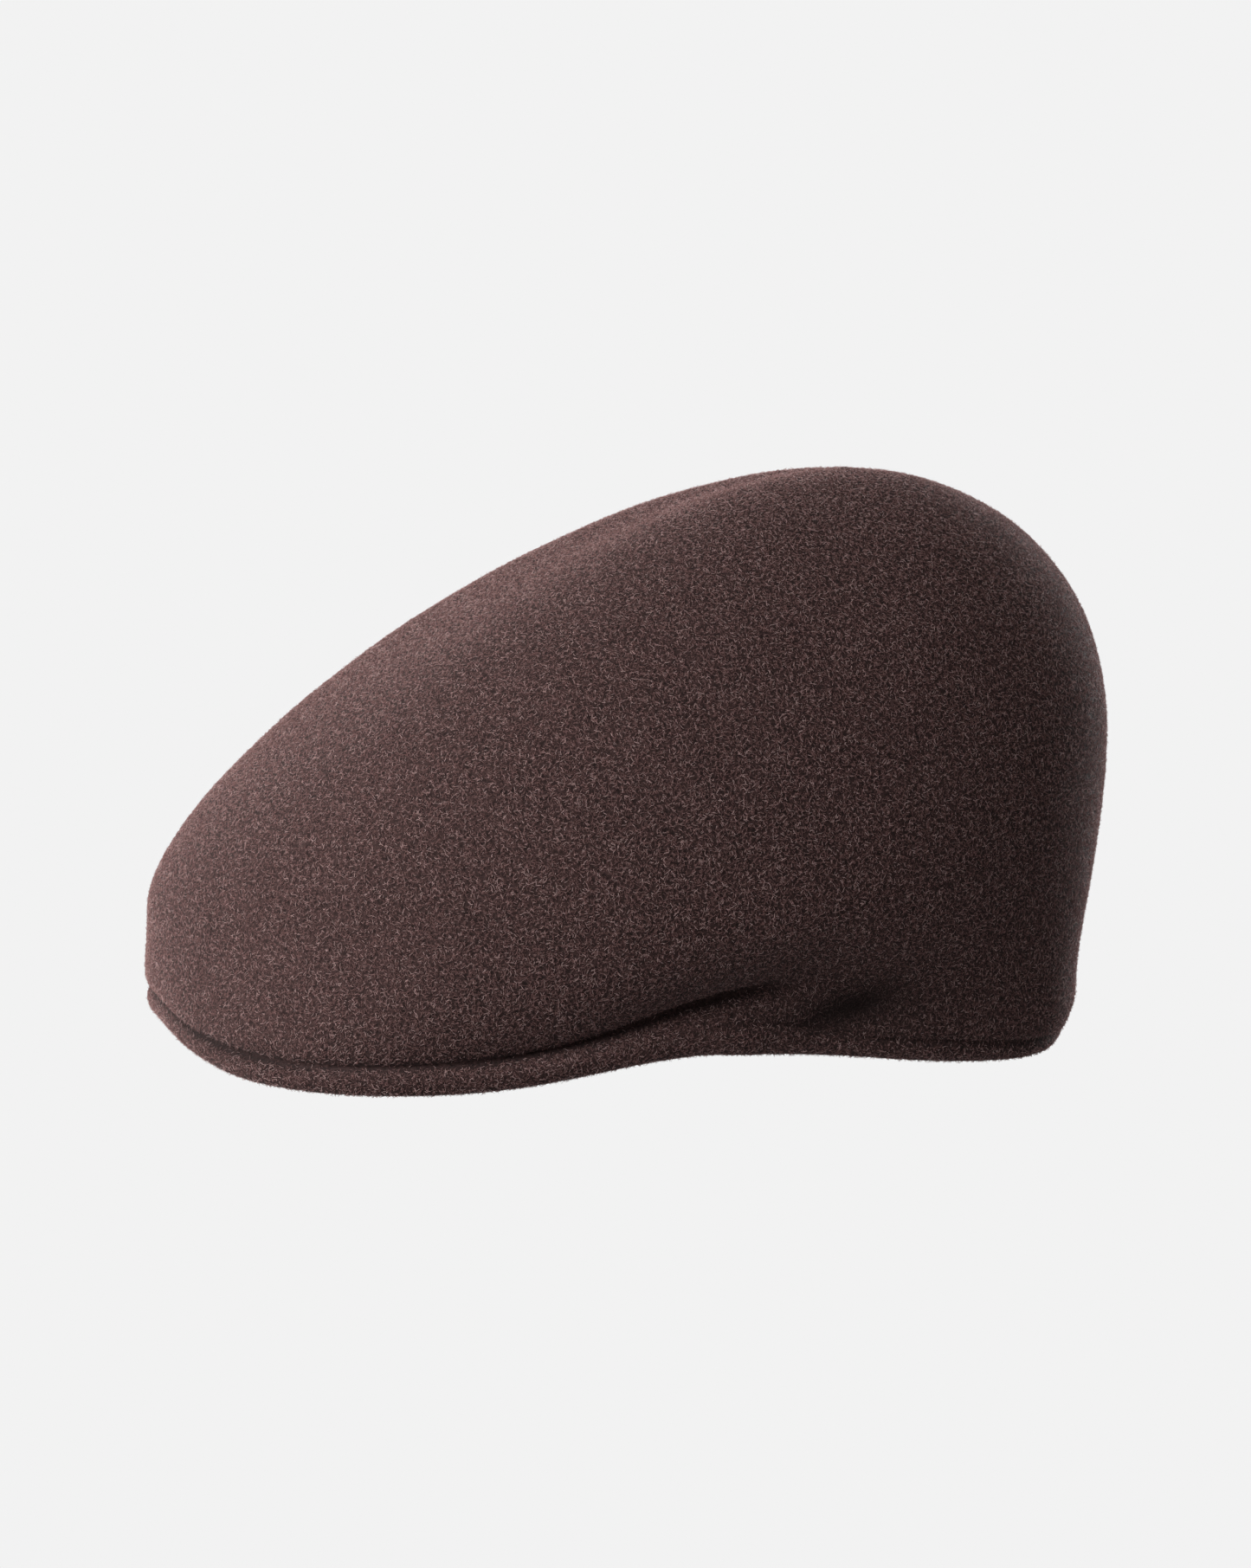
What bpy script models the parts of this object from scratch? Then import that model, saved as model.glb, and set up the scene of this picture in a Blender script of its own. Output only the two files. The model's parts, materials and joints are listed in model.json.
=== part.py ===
"""Moulded wool-felt ivy cap: a seamless felt crown that folds over a short stiffened peak.

The cap sits on its rim. Front is -Y, +X is the wearer's left and +Z is up. The origin is on the
resting plane, half way along the cap. Lengths are metres and angles are degrees.
"""

import math

import bpy
import numpy as np

GAP = 0.0003

# The crown where it is widest, seen from above
CROWN_HALF_WIDTH = 0.0970
CROWN_FRONT_Y = -0.1334
CROWN_BACK_Y = 0.1334
CROWN_SQUARENESS = 0.018
BULGE_HEIGHT = (0.0392, 0.0487, 0.0876)
TOP_Y = 0.0618
TOP_HEIGHT = 0.1559
# How far each quarter of the crown stays upright, and how far its top stays flat
UPRIGHT = (0.287, 0.514, 0.602)
FLAT_TOP = (0.358, 0.502, 0.551)
FELT = 0.0024

# The rim, seen from above and from the side
RIM_HALF_WIDTH = 0.0856
RIM_FRONT_Y = -0.1332
RIM_BACK_Y = 0.1211
RIM_SQUARENESS = 0.073
RIM_EGG = 0.038
PEAK_ARCH = 0.0084
PEAK_ARCH_SPREAD = 40.0
TEMPLE_ARCH = 0.0076
TEMPLE_AT = 93.6
TEMPLE_SPREAD = (15.0, 21.5)
RIM_LAND = 0.0018

# The lip of felt under the fold
LIP_FRONT = 0.0055
LIP_BACK = 0.0176
FOLD_DEPTH = (0.0030, 0.0060)
FOLD_FADES = (68.0, 100.0)
FLANGE = 0.0080
OVERHANG = (0.0030, 0.0110)

# The peak
PEAK_ENDS = 73.5
CROWN_REACHES_RIM = 74.7
PEAK_ROOT_THICKNESS = 0.0054
PEAK_ROOT_FAN = 0.64
PEAK_ROOT_CLEARANCE = 0.0015
BOARD = 0.0012
BOARD_INSET = 0.0046
BOARD_ENDS = 67.0
PEAK_PIVOT = (0.0, -0.044, 0.005)

# The head opening, and the band round it
HEAD_MID_Y = 0.014
HEAD_OVAL = (0.086, 0.100)
BAND = 0.0009
BAND_HEIGHT = 0.030
BAND_FOOT = 0.0010
BAND_FOOT_AT_PEAK = 0.0030
ELASTIC_HALF_ANGLE = 22.0
ELASTIC_RIBS = 12
THREAD_RADIUS = 0.0002

# The labels, by the angle they are sewn at
LABEL = 0.0005
MAKER_LABEL = (0.040, 0.018)
CARE_LABEL = (0.028, 0.022)
CARE_LABEL_AT = 140.0
SIZE_TAB = (0.014, 0.011)
SIZE_TAB_AT = -140.0
TAB_STANDOFF = 0.0008
TAB_FOOT = 0.0065


def smoothstep(low, high, x):
    t = np.clip((x - low) / (high - low), 0.0, 1.0)
    return t * t * (3.0 - 2.0 * t)


def by_quarter(angle, values):
    """A dimension given at the front, sides and back, at each angle round the cap."""
    c = np.cos(np.radians(angle))
    front = np.clip(c, 0.0, 1.0) ** 2
    back = np.clip(-c, 0.0, 1.0) ** 2
    return front * values[0] + (1.0 - front - back) * values[1] + back * values[2]


def egg_plan(angle, half_width, front, back, squareness, egg):
    """A squared-off egg seen from above, by the angle from its front towards the left."""
    a = np.radians(angle)
    across = np.sin(a) + squareness * np.sin(3 * a) + egg * np.sin(2 * a)
    along = np.cos(a) - squareness * np.cos(3 * a)
    x = half_width * across / (1.0 - squareness)
    y = (front + back) / 2 - (back - front) / 2 * along / (1.0 - squareness)
    return np.stack([x, y], -1)


def rim_plan(angle):
    return egg_plan(angle, RIM_HALF_WIDTH, RIM_FRONT_Y, RIM_BACK_Y, RIM_SQUARENESS, RIM_EGG)


def rim_inward(angle):
    """Level unit vector pointing in from the rim."""
    along = rim_plan(angle + 0.01) - rim_plan(angle - 0.01)
    inward = np.stack([-along[..., 1], along[..., 0]], -1)
    return inward / np.linalg.norm(inward, axis=-1, keepdims=True)


def rim_height(angle):
    """Height of the rim's lowest line: arched at the peak and over the ears."""
    a = np.abs(angle)
    spread = np.where(a < TEMPLE_AT, TEMPLE_SPREAD[0], TEMPLE_SPREAD[1])
    peak = PEAK_ARCH * np.exp(-((a / PEAK_ARCH_SPREAD) ** 2))
    return peak + TEMPLE_ARCH * np.exp(-(((a - TEMPLE_AT) / spread) ** 2))


def roll_width(angle):
    return 0.0034 + 0.0035 * smoothstep(60.0, 150.0, np.abs(angle))


def roll_height(angle):
    return 0.0028 + 0.0090 * smoothstep(60.0, 150.0, np.abs(angle))


def lip_height(angle):
    return LIP_FRONT + (LIP_BACK - LIP_FRONT) * smoothstep(20.0, 147.0, np.abs(angle))


def fold_strength(angle):
    return 1.0 - smoothstep(FOLD_FADES[0], FOLD_FADES[1], np.abs(angle))


def fold_depth(angle):
    deep = smoothstep(25.0, 55.0, np.abs(angle))
    return (FOLD_DEPTH[0] + (FOLD_DEPTH[1] - FOLD_DEPTH[0]) * deep) * fold_strength(angle)


def overhang(angle):
    return OVERHANG[0] + (OVERHANG[1] - OVERHANG[0]) * smoothstep(15.0, 45.0, np.abs(angle))


def lift(plan, height):
    """Points seen from above, given their heights."""
    return np.concatenate([plan, np.broadcast_to(height, plan.shape[:-1])[..., None]], -1)


def rim_from_inside(bearing):
    """Rim angle and distance of the rim's inner edge, at a bearing from the middle of the head."""
    round_rim = np.linspace(-180.0, 180.0, 721)
    inset = roll_width(round_rim) + RIM_LAND + 0.0004
    edge = rim_plan(round_rim) + rim_inward(round_rim) * inset[:, None]
    seen_at = np.degrees(np.arctan2(edge[:, 0], HEAD_MID_Y - edge[:, 1]))
    seen_at[0], seen_at[-1] = -180.0, 180.0
    turned = (np.asarray(bearing, dtype=float) + 180.0) % 360.0 - 180.0
    distance = np.hypot(edge[:, 0], edge[:, 1] - HEAD_MID_Y)
    return np.interp(turned, seen_at, round_rim), np.interp(turned, seen_at, distance)


def head_point(bearing, outset, height):
    """A point on the head opening, `outset` outside the sweatband's outer face.

    From temple to temple round the back the opening follows the inside of the rim. In front it
    is an oval that leaves room for the peak.
    """
    wall = rim_from_inside(bearing)[1]
    a = np.radians(bearing)
    oval = 1.0 / np.hypot(np.sin(a) / HEAD_OVAL[0], np.cos(a) / HEAD_OVAL[1])
    ease = 0.0012
    radius = -ease * np.logaddexp(-wall / ease, -oval / ease) + outset
    plan = np.stack([radius * np.sin(a), HEAD_MID_Y - radius * np.cos(a)], -1)
    return lift(plan, height)


def band_foot(bearing):
    """Height of the sweatband's lower edge, which follows the rim and rises at the peak."""
    rim_angle = rim_from_inside(bearing)[0]
    at_peak = 1.0 - smoothstep(0.0, 75.0, np.abs(rim_angle))
    return rim_height(rim_angle) + BAND_FOOT + BAND_FOOT_AT_PEAK * at_peak


def crown_point(angle, t):
    """A point on the outside of the crown: t is 0 in the fold, 1 at the bulge and 2 on top."""
    bulge = egg_plan(angle, CROWN_HALF_WIDTH, CROWN_FRONT_Y, CROWN_BACK_Y, CROWN_SQUARENESS, 0.0)
    bulge = lift(bulge, by_quarter(angle, BULGE_HEIGHT))
    up = np.array([0.0, 0.0, 1.0])
    if t <= 1.0:
        fold = fold_point(angle)
        rise = (bulge - fold)[:, 2:] * up
        out = (bulge - fold) * (1.0 - up)
        hang = 0.9 * fold_strength(angle)[:, None]
        over_lip = -lift(rim_inward(angle), 0.0) * overhang(angle)[:, None]
        first = fold + 0.15 * out * (1.0 - hang) + over_lip * hang + rise * (0.30 - 0.26 * hang)
        second = bulge - 0.5 * rise
        return bezier(fold, first, second, bulge, t)
    top = np.array([0.0, TOP_Y, TOP_HEIGHT])
    rise = (top - bulge)[:, 2:] * up
    first = bulge + rise * by_quarter(angle, UPRIGHT)[:, None]
    second = top + (bulge - top) * (1.0 - up) * by_quarter(angle, FLAT_TOP)[:, None]
    return bezier(bulge, first, second, top, t - 1.0)


def bezier(a, b, c, d, t):
    s = 1.0 - t
    return s**3 * a + 3 * s * s * t * b + 3 * s * t * t * c + t**3 * d


def crown_inside(angle, t):
    """The point under crown_point, one felt thickness in."""
    step = 0.01
    along = crown_point(angle + step, t) - crown_point(angle - step, t)
    up = crown_point(angle, t + step) - crown_point(angle, t - step)
    outward = np.cross(along, up)
    outward /= np.linalg.norm(outward, axis=-1, keepdims=True)
    return crown_point(angle, t) - FELT * outward


def peak_root(angle):
    """Where the peak meets the head opening, for each angle along its lip."""
    fanned = angle * PEAK_ROOT_FAN
    return head_point(fanned, PEAK_ROOT_CLEARANCE, band_foot(fanned) - 0.0005)


def peak_line(angle, inset):
    """Plan of points `inset` from the lip's edge, on the straight lines to the peak's root."""
    start = rim_plan(angle)
    to_root = peak_root(angle)[..., :2] - start
    return start + to_root * (inset / np.linalg.norm(to_root, axis=-1))[..., None]


def peak_width(angle):
    return np.linalg.norm(peak_root(angle)[..., :2] - rim_plan(angle), axis=-1)


def peak_top(angle, inset):
    at_fold = rim_height(angle) + lip_height(angle)
    at_root = peak_root(angle)[..., 2] + PEAK_ROOT_THICKNESS
    share = (inset - fold_depth(angle)) / (peak_width(angle) - fold_depth(angle))
    return at_fold + (at_root - at_fold) * share


def peak_bottom(angle, inset):
    share = (inset - roll_width(angle)) / (peak_width(angle) - roll_width(angle))
    return rim_height(angle) + (peak_root(angle)[..., 2] - rim_height(angle)) * share


def peak_middle(angle, inset):
    return (peak_top(angle, inset) + peak_bottom(angle, inset)) / 2


def fold_point(angle):
    """The bottom of the fold between the lip and the crown."""
    over_peak = np.abs(angle) < CROWN_REACHES_RIM
    inset = fold_depth(angle)
    beside = rim_plan(angle) + rim_inward(angle) * inset[:, None]
    plan = np.where(over_peak[:, None], peak_line(angle, inset), beside)
    clear = np.where(over_peak, GAP, 0.0)
    return lift(plan, rim_height(angle) + lip_height(angle) + clear)


def crown_edges(angle):
    """Rows from the crown's lower inside edge out to the fold, outside rows then inside rows.

    Over the peak the edge is a flange lying on it. Elsewhere it is the rolled rim.
    """
    over_peak = np.abs(angle) < CROWN_REACHES_RIM
    depth = fold_depth(angle)
    width = roll_width(angle)
    tall = roll_height(angle)
    lip = lip_height(angle)
    foot = rim_height(angle)

    def row(flange_share, above, inset, rise):
        under = depth + FLANGE * flange_share
        flange = lift(peak_line(angle, under), peak_top(angle, under) + GAP + above)
        rim = lift(rim_plan(angle) + rim_inward(angle) * np.reshape(inset, (-1, 1)), foot + rise)
        return np.where(over_peak[:, None], flange, rim)

    outside = [
        row(1.0, 0.0, width + RIM_LAND, 0.0),
        row(0.85, 0.0, width, 0.0),
        row(0.70, 0.0, width * 0.617, tall * 0.076),
        row(0.55, 0.0, width * 0.293, tall * 0.293),
        row(0.40, 0.0, width * 0.076, tall * 0.617),
        row(0.25, 0.0, 0.0 * width, tall),
        row(0.12, 0.0, 0.0008 * fold_strength(angle), lip * 0.88),
    ]
    inside = [
        row(1.0, FELT, width + RIM_LAND, FELT),
        row(0.60, FELT, width * 0.293 + FELT, tall * 0.293 + FELT),
        row(0.30, FELT, depth + FELT, lip + 0.0010),
    ]
    return outside, inside


def solid(name, outer, inner, material, loop=False, pivot=(0.0, 0.0, 0.0)):
    """A closed body between two sheets of points, each given as rows of equal length.

    With loop the rows close on themselves, and last rows that shrink to one point are joined.
    """
    points = []
    sheets = []
    for sheet in (outer, inner):
        rows = []
        for row in sheet:
            shrunk = loop and np.ptp(row, axis=0).max() < 1e-9
            first = len(points)
            points.extend(row[:1] if shrunk else row)
            rows.append([first + (0 if shrunk else k) for k in range(len(row))])
        sheets.append(rows)
    count = len(sheets[0][0])
    columns = range(count if loop else count - 1)
    faces = []
    for rows, outward in zip(sheets, (True, False)):
        for low, high in zip(rows, rows[1:]):
            for k in columns:
                n = (k + 1) % count
                ring = [low[k], low[n], high[n], high[k]]
                faces.append(ring if outward else ring[::-1])
    for k in columns:
        n = (k + 1) % count
        faces.append([sheets[1][0][k], sheets[1][0][n], sheets[0][0][n], sheets[0][0][k]])
        ends = [sheets[0][-1][k], sheets[0][-1][n], sheets[1][-1][n], sheets[1][-1][k]]
        if len(set(ends)) == 4:
            faces.append(ends)
    if not loop:
        for k, outward in ((0, True), (count - 1, False)):
            for (a, b), (c, d) in zip(zip(sheets[0], sheets[0][1:]), zip(sheets[1], sheets[1][1:])):
                ring = [a[k], b[k], d[k], c[k]]
                faces.append(ring if outward else ring[::-1])
    return body(name, points, faces, material, pivot)


def body(name, points, faces, material, pivot):
    """A mesh object with its origin on its pivot, shaded smooth except at hard edges."""
    faces = [list(dict.fromkeys(face)) for face in faces]
    local = [tuple(float(c) - p for c, p in zip(point, pivot)) for point in points]
    mesh = bpy.data.meshes.new(name)
    mesh.from_pydata(local, [], faces)
    mesh.materials.append(material)
    mesh.validate()
    mesh.polygons.foreach_set("use_smooth", [True] * len(mesh.polygons))
    mesh.set_sharp_from_angle(angle=math.radians(40.0))
    obj = bpy.data.objects.new(name, mesh)
    obj.location = pivot
    bpy.context.scene.collection.objects.link(obj)
    return obj


def thread(name, path, material, closed=False, pivot=(0.0, 0.0, 0.0)):
    """A round sewing thread along a path of points."""
    path = np.asarray(path)
    sides = 5
    if closed:
        along = np.roll(path, -1, axis=0) - np.roll(path, 1, axis=0)
    else:
        along = np.gradient(path, axis=0)
    along /= np.linalg.norm(along, axis=-1, keepdims=True)
    steady = np.array([0.0, 0.0, 1.0])
    if np.abs(along[:, 2]).max() > 0.9:
        steady = path.mean(axis=0) * [1.0, 1.0, 0.0]
    aside = np.cross(along, steady)
    aside /= np.linalg.norm(aside, axis=-1, keepdims=True)
    upward = np.cross(along, aside)
    turn = np.linspace(0.0, 2 * math.pi, sides, endpoint=False)
    round_path = aside[:, None] * np.cos(turn)[:, None] + upward[:, None] * np.sin(turn)[:, None]
    points = (path[:, None] + THREAD_RADIUS * round_path).reshape(-1, 3)
    count = len(path)
    faces = []
    for k in range(count if closed else count - 1):
        n = (k + 1) % count
        for s in range(sides):
            r = (s + 1) % sides
            faces.append([k * sides + s, k * sides + r, n * sides + r, n * sides + s])
    if not closed:
        faces.append([s for s in reversed(range(sides))])
        faces.append([(count - 1) * sides + s for s in range(sides)])
    return body(name, points, faces, material, pivot)


def material(name, colour, roughness):
    made = bpy.data.materials.new(name)
    made.use_nodes = True
    shader = made.node_tree.nodes["Principled BSDF"]
    shader.inputs["Base Color"].default_value = (*colour, 1.0)
    shader.inputs["Roughness"].default_value = roughness
    shader.inputs["Metallic"].default_value = 0.0
    made.diffuse_color = (*colour, 1.0)
    return made


def make_crown(felt):
    behind = np.linspace(CROWN_REACHES_RIM + 0.5, 180.0, 24)
    over = np.linspace(-CROWN_REACHES_RIM + 0.5, CROWN_REACHES_RIM - 0.5, 33)
    angle = np.concatenate([-behind[::-1], over, behind[:-1]])
    outside, inside = crown_edges(angle)
    outside.append(fold_point(angle))
    outside += [crown_point(angle, t) for t in np.linspace(0.0, 1.0, 7)[1:]]
    outside += [crown_point(angle, t) for t in np.linspace(1.0, 2.0, 12)[1:]]
    inside += [crown_inside(angle, t) for t in (0.30, 0.60, 0.98)]
    inside += [crown_inside(angle, t) for t in np.linspace(1.14, 1.94, 8)]
    top = np.array([0.0, TOP_Y, TOP_HEIGHT - FELT])
    inside.append(np.tile(top, (len(angle), 1)))
    solid("crown_felt", outside, inside, felt, loop=True)


def make_peak(felt, board, yarn):
    """The folded peak cover, its stiffener, and the thread that holds its root."""
    angle = np.linspace(-PEAK_ENDS, PEAK_ENDS, 31)
    depth = fold_depth(angle)
    width = roll_width(angle)
    tall = roll_height(angle)
    lip = lip_height(angle)
    foot = rim_height(angle)
    reach = peak_width(angle)
    near = np.full_like(angle, 0.0090)
    slot_end = np.full_like(angle, BOARD_INSET - GAP)
    slot = BOARD / 2 + GAP

    def at(inset, height):
        return lift(peak_line(angle, inset), height)

    cover = [
        at(reach, peak_top(angle, reach)),
        at(reach * 0.6, peak_top(angle, reach * 0.6)),
        at(near, peak_top(angle, near)),
        at(depth, foot + lip),
        at(depth * 0.3, foot + lip * 0.85),
        at(depth * 0.0, foot + tall),
        at(width * 0.293, foot + tall * 0.293),
        at(width, foot),
        at(near, peak_bottom(angle, near)),
        at(reach * 0.6, peak_bottom(angle, reach * 0.6)),
        at(reach, peak_bottom(angle, reach)),
    ]
    pocket = [
        at(reach, peak_middle(angle, reach) + slot),
        at(reach * 0.6, peak_middle(angle, reach * 0.6) + slot),
        at(near, peak_middle(angle, near) + slot),
        at(slot_end * 1.4, peak_middle(angle, slot_end * 1.4) + slot),
        at(slot_end, peak_middle(angle, slot_end) + slot),
        at(slot_end, peak_middle(angle, slot_end)),
        at(slot_end, peak_middle(angle, slot_end) - slot),
        at(slot_end * 1.4, peak_middle(angle, slot_end * 1.4) - slot),
        at(near, peak_middle(angle, near) - slot),
        at(reach * 0.6, peak_middle(angle, reach * 0.6) - slot),
        at(reach, peak_middle(angle, reach) - slot),
    ]
    solid("peak_felt", cover[::-1], pocket[::-1], felt, pivot=PEAK_PIVOT)

    angle = np.linspace(-BOARD_ENDS, BOARD_ENDS, 29)
    far = peak_width(angle) - 0.0030
    insets = [np.full_like(angle, BOARD_INSET), np.full_like(angle, 0.0090)]
    insets += [far * 0.6, far]
    upper = [at(k, peak_middle(angle, k) + BOARD / 2) for k in insets]
    lower = [at(k, peak_middle(angle, k) - BOARD / 2) for k in insets]
    solid("peak_board", upper, lower, board, pivot=PEAK_PIVOT)

    angle = np.linspace(-PEAK_ENDS + 3.0, PEAK_ENDS - 3.0, 61)
    sewn = peak_width(angle) - 0.0020
    below = GAP + THREAD_RADIUS + 0.0001 * (1.0 + np.cos(np.arange(61) * math.pi))
    path = at(sewn, peak_bottom(angle, sewn) - below)
    thread("peak_root_stitching", path, yarn, pivot=PEAK_PIVOT)


def make_band(grosgrain, elastic, yarn):
    """The sweatband, the elastic that closes it at the back, and their stitching."""
    end = 180.0 - ELASTIC_HALF_ANGLE
    angle = np.linspace(-end, end, 65)
    levels = (0.0, 0.5, 1.0)
    outer = [head_point(angle, 0.0, band_foot(angle) + BAND_HEIGHT * k) for k in levels]
    inner = [head_point(angle, -BAND, band_foot(angle) + BAND_HEIGHT * k) for k in levels]
    solid("sweatband", outer, inner, grosgrain)

    joint = math.degrees(GAP / 0.100)
    start = end + joint
    angle = np.linspace(start, 360.0 - start, 2 * ELASTIC_RIBS + 1)
    rib = 0.0002 * (np.arange(len(angle)) % 2)
    outer = [head_point(angle, -rib / 2, band_foot(angle) + BAND_HEIGHT * k) for k in (0.02, 0.98)]
    thick = BAND + 0.0002 - rib
    inner = [head_point(angle, -thick, band_foot(angle) + BAND_HEIGHT * k) for k in (0.02, 0.98)]
    solid("back_elastic", outer, inner, elastic)

    stand = -(BAND + 0.0002 + GAP + THREAD_RADIUS)
    angle = np.linspace(-end + 2.5, end - 2.5, 161)
    wave = 0.0002 * np.cos(np.arange(161) * math.pi)
    path = head_point(angle, stand, band_foot(angle) + 0.0020 + wave)
    thread("sweatband_stitching", path, yarn)

    for side, sign in (("left", 1.0), ("right", -1.0)):
        count = 21
        up = np.linspace(0.0035, BAND_HEIGHT - 0.0020, count)
        sway = 0.9 * np.cos(np.arange(count) * math.pi)
        at = sign * (end + joint / 2) + sway
        path = head_point(at, stand, band_foot(at) + up)
        thread("elastic_join_stitching_" + side, path, yarn)


def label_angles(at, width, columns):
    """Angles round the head opening that a label `width` wide covers."""
    radius = np.linalg.norm(head_point(at, 0.0, 0.0)[:2] - [0.0, HEAD_MID_Y])
    half = math.degrees(width / 2 / radius)
    return np.linspace(at - half, at + half, columns)


def make_maker_label(satin, yarn):
    """A blank label sewn flat on the front of the sweatband."""
    foot = float(band_foot(0.0)) + 0.0060
    width, height = MAKER_LABEL
    angle = label_angles(0.0, width, 9)
    levels = (foot, foot + height)
    outer = [head_point(angle, -(BAND + GAP), z) for z in levels]
    inner = [head_point(angle, -(BAND + GAP + LABEL), z) for z in levels]
    solid("maker_label", outer, inner, satin)

    face = -(BAND + GAP + LABEL + GAP + THREAD_RADIUS)
    edge = 0.0012
    across = np.linspace(angle[0] + 0.7, angle[-1] - 0.7, 15)
    path = [head_point(a, face, foot + edge) for a in across]
    path += [head_point(across[-1], face, foot + height * k) for k in (0.35, 0.65)]
    path += [head_point(a, face, foot + height - edge) for a in across[::-1]]
    path += [head_point(across[0], face, foot + height * k) for k in (0.65, 0.35)]
    thread("maker_label_stitching", path, yarn, closed=True)


def make_tab(name, size, at, satin, yarn):
    """A flat label that swings on its sewn lower edge, and its stitching."""
    width, height = size
    foot = float(band_foot(at)) + TAB_FOOT
    angle = label_angles(at, width, 7)
    right, left = head_point(angle[[0, -1]], -(BAND + TAB_STANDOFF), foot)
    along = (left - right) / np.linalg.norm(left - right)
    inward = np.cross([0.0, 0.0, 1.0], along)
    up = np.array([0.0, 0.0, 1.0])
    pivot = tuple(float(c) for c in (right + left) / 2)

    edge = np.linspace(right, left, 7)
    outer = [edge, edge + up * height]
    inner = [row + inward * LABEL for row in outer]
    solid(name, outer, inner, satin, pivot=pivot)

    sewn = np.linspace(right + along * 0.0013, left - along * 0.0013, 9)
    path = sewn + inward * (LABEL + GAP + THREAD_RADIUS) + up * 0.0022
    thread(name + "_stitching", path, yarn, pivot=pivot)


def main():
    for obj in list(bpy.data.objects):
        bpy.data.objects.remove(obj, do_unlink=True)
    felt = material("wool_felt", (0.105, 0.060, 0.056), 0.95)
    board = material("peak_stiffener", (0.60, 0.58, 0.54), 0.50)
    grosgrain = material("band_grosgrain", (0.050, 0.032, 0.028), 0.70)
    elastic = material("woven_elastic", (0.032, 0.024, 0.022), 0.80)
    satin = material("label_satin", (0.55, 0.52, 0.47), 0.45)
    yarn = material("sewing_thread", (0.075, 0.045, 0.040), 0.60)
    make_crown(felt)
    make_peak(felt, board, yarn)
    make_band(grosgrain, elastic, yarn)
    make_maker_label(satin, yarn)
    make_tab("care_label", CARE_LABEL, CARE_LABEL_AT, satin, yarn)
    make_tab("size_tab", SIZE_TAB, SIZE_TAB_AT, satin, yarn)


main()
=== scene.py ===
"""Looks of the moulded wool-felt ivy cap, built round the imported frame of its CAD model.

Front is -Y, +X is the wearer's left and +Z is up. Lengths are metres and angles are degrees.
Angles run round the cap from its front (0) towards the wearer's left (90) to its back (180).
"""

import json
import math

import bpy
import numpy as np
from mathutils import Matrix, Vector


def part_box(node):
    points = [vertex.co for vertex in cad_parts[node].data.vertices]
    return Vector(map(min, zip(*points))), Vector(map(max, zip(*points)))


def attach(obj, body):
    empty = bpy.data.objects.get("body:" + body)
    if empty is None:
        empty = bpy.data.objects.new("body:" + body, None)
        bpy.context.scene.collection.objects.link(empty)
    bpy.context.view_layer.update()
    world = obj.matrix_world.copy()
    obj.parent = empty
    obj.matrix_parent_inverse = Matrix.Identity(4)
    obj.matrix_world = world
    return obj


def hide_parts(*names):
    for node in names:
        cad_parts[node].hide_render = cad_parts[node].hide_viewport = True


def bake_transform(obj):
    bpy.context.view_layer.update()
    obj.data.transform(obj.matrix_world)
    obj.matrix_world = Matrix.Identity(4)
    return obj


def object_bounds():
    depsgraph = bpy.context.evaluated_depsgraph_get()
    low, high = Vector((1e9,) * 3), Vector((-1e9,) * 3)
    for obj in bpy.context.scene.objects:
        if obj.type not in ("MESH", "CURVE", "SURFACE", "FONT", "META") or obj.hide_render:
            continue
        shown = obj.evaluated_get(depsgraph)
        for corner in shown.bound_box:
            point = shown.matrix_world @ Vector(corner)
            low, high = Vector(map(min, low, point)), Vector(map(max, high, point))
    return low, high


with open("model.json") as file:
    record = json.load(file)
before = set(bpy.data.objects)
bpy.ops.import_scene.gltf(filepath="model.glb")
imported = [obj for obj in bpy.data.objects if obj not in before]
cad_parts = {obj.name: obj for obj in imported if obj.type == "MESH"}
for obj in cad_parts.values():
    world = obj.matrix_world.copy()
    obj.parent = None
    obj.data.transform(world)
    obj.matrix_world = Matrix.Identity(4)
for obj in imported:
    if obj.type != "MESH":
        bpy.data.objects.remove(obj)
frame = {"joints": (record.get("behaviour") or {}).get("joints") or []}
cad_low, cad_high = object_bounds()

CROWN_LOW, CROWN_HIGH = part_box("crown_felt")
PEAK_FRONT_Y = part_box("peak_felt")[0].y
JOINTS = {joint["name"]: joint for joint in frame["joints"]}

# The crown: its plan where it is widest, and its curves. Triples are front, sides and back
CROWN_HALF_WIDTH = CROWN_HIGH.x
CROWN_FRONT_Y = CROWN_LOW.y
CROWN_BACK_Y = CROWN_HIGH.y
TOP_HEIGHT = CROWN_HIGH.z
TOP_Y = 0.0618
CROWN_SQUARENESS = 0.018
BULGE_HEIGHT = (0.0370, 0.0487, 0.0876)
UPRIGHT = (0.287, 0.514, 0.602)
FLAT_TOP = (0.358, 0.502, 0.551)
FELT = 0.0024

# The crown's curve from the fold to its bulge: how much it hangs, how it starts and how it ends
HANG_SHARE = 0.9
CROWN_START_OUT = 0.15
CROWN_START_RISE = (0.30, 0.25)
CROWN_END_DROP = 0.5

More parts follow.
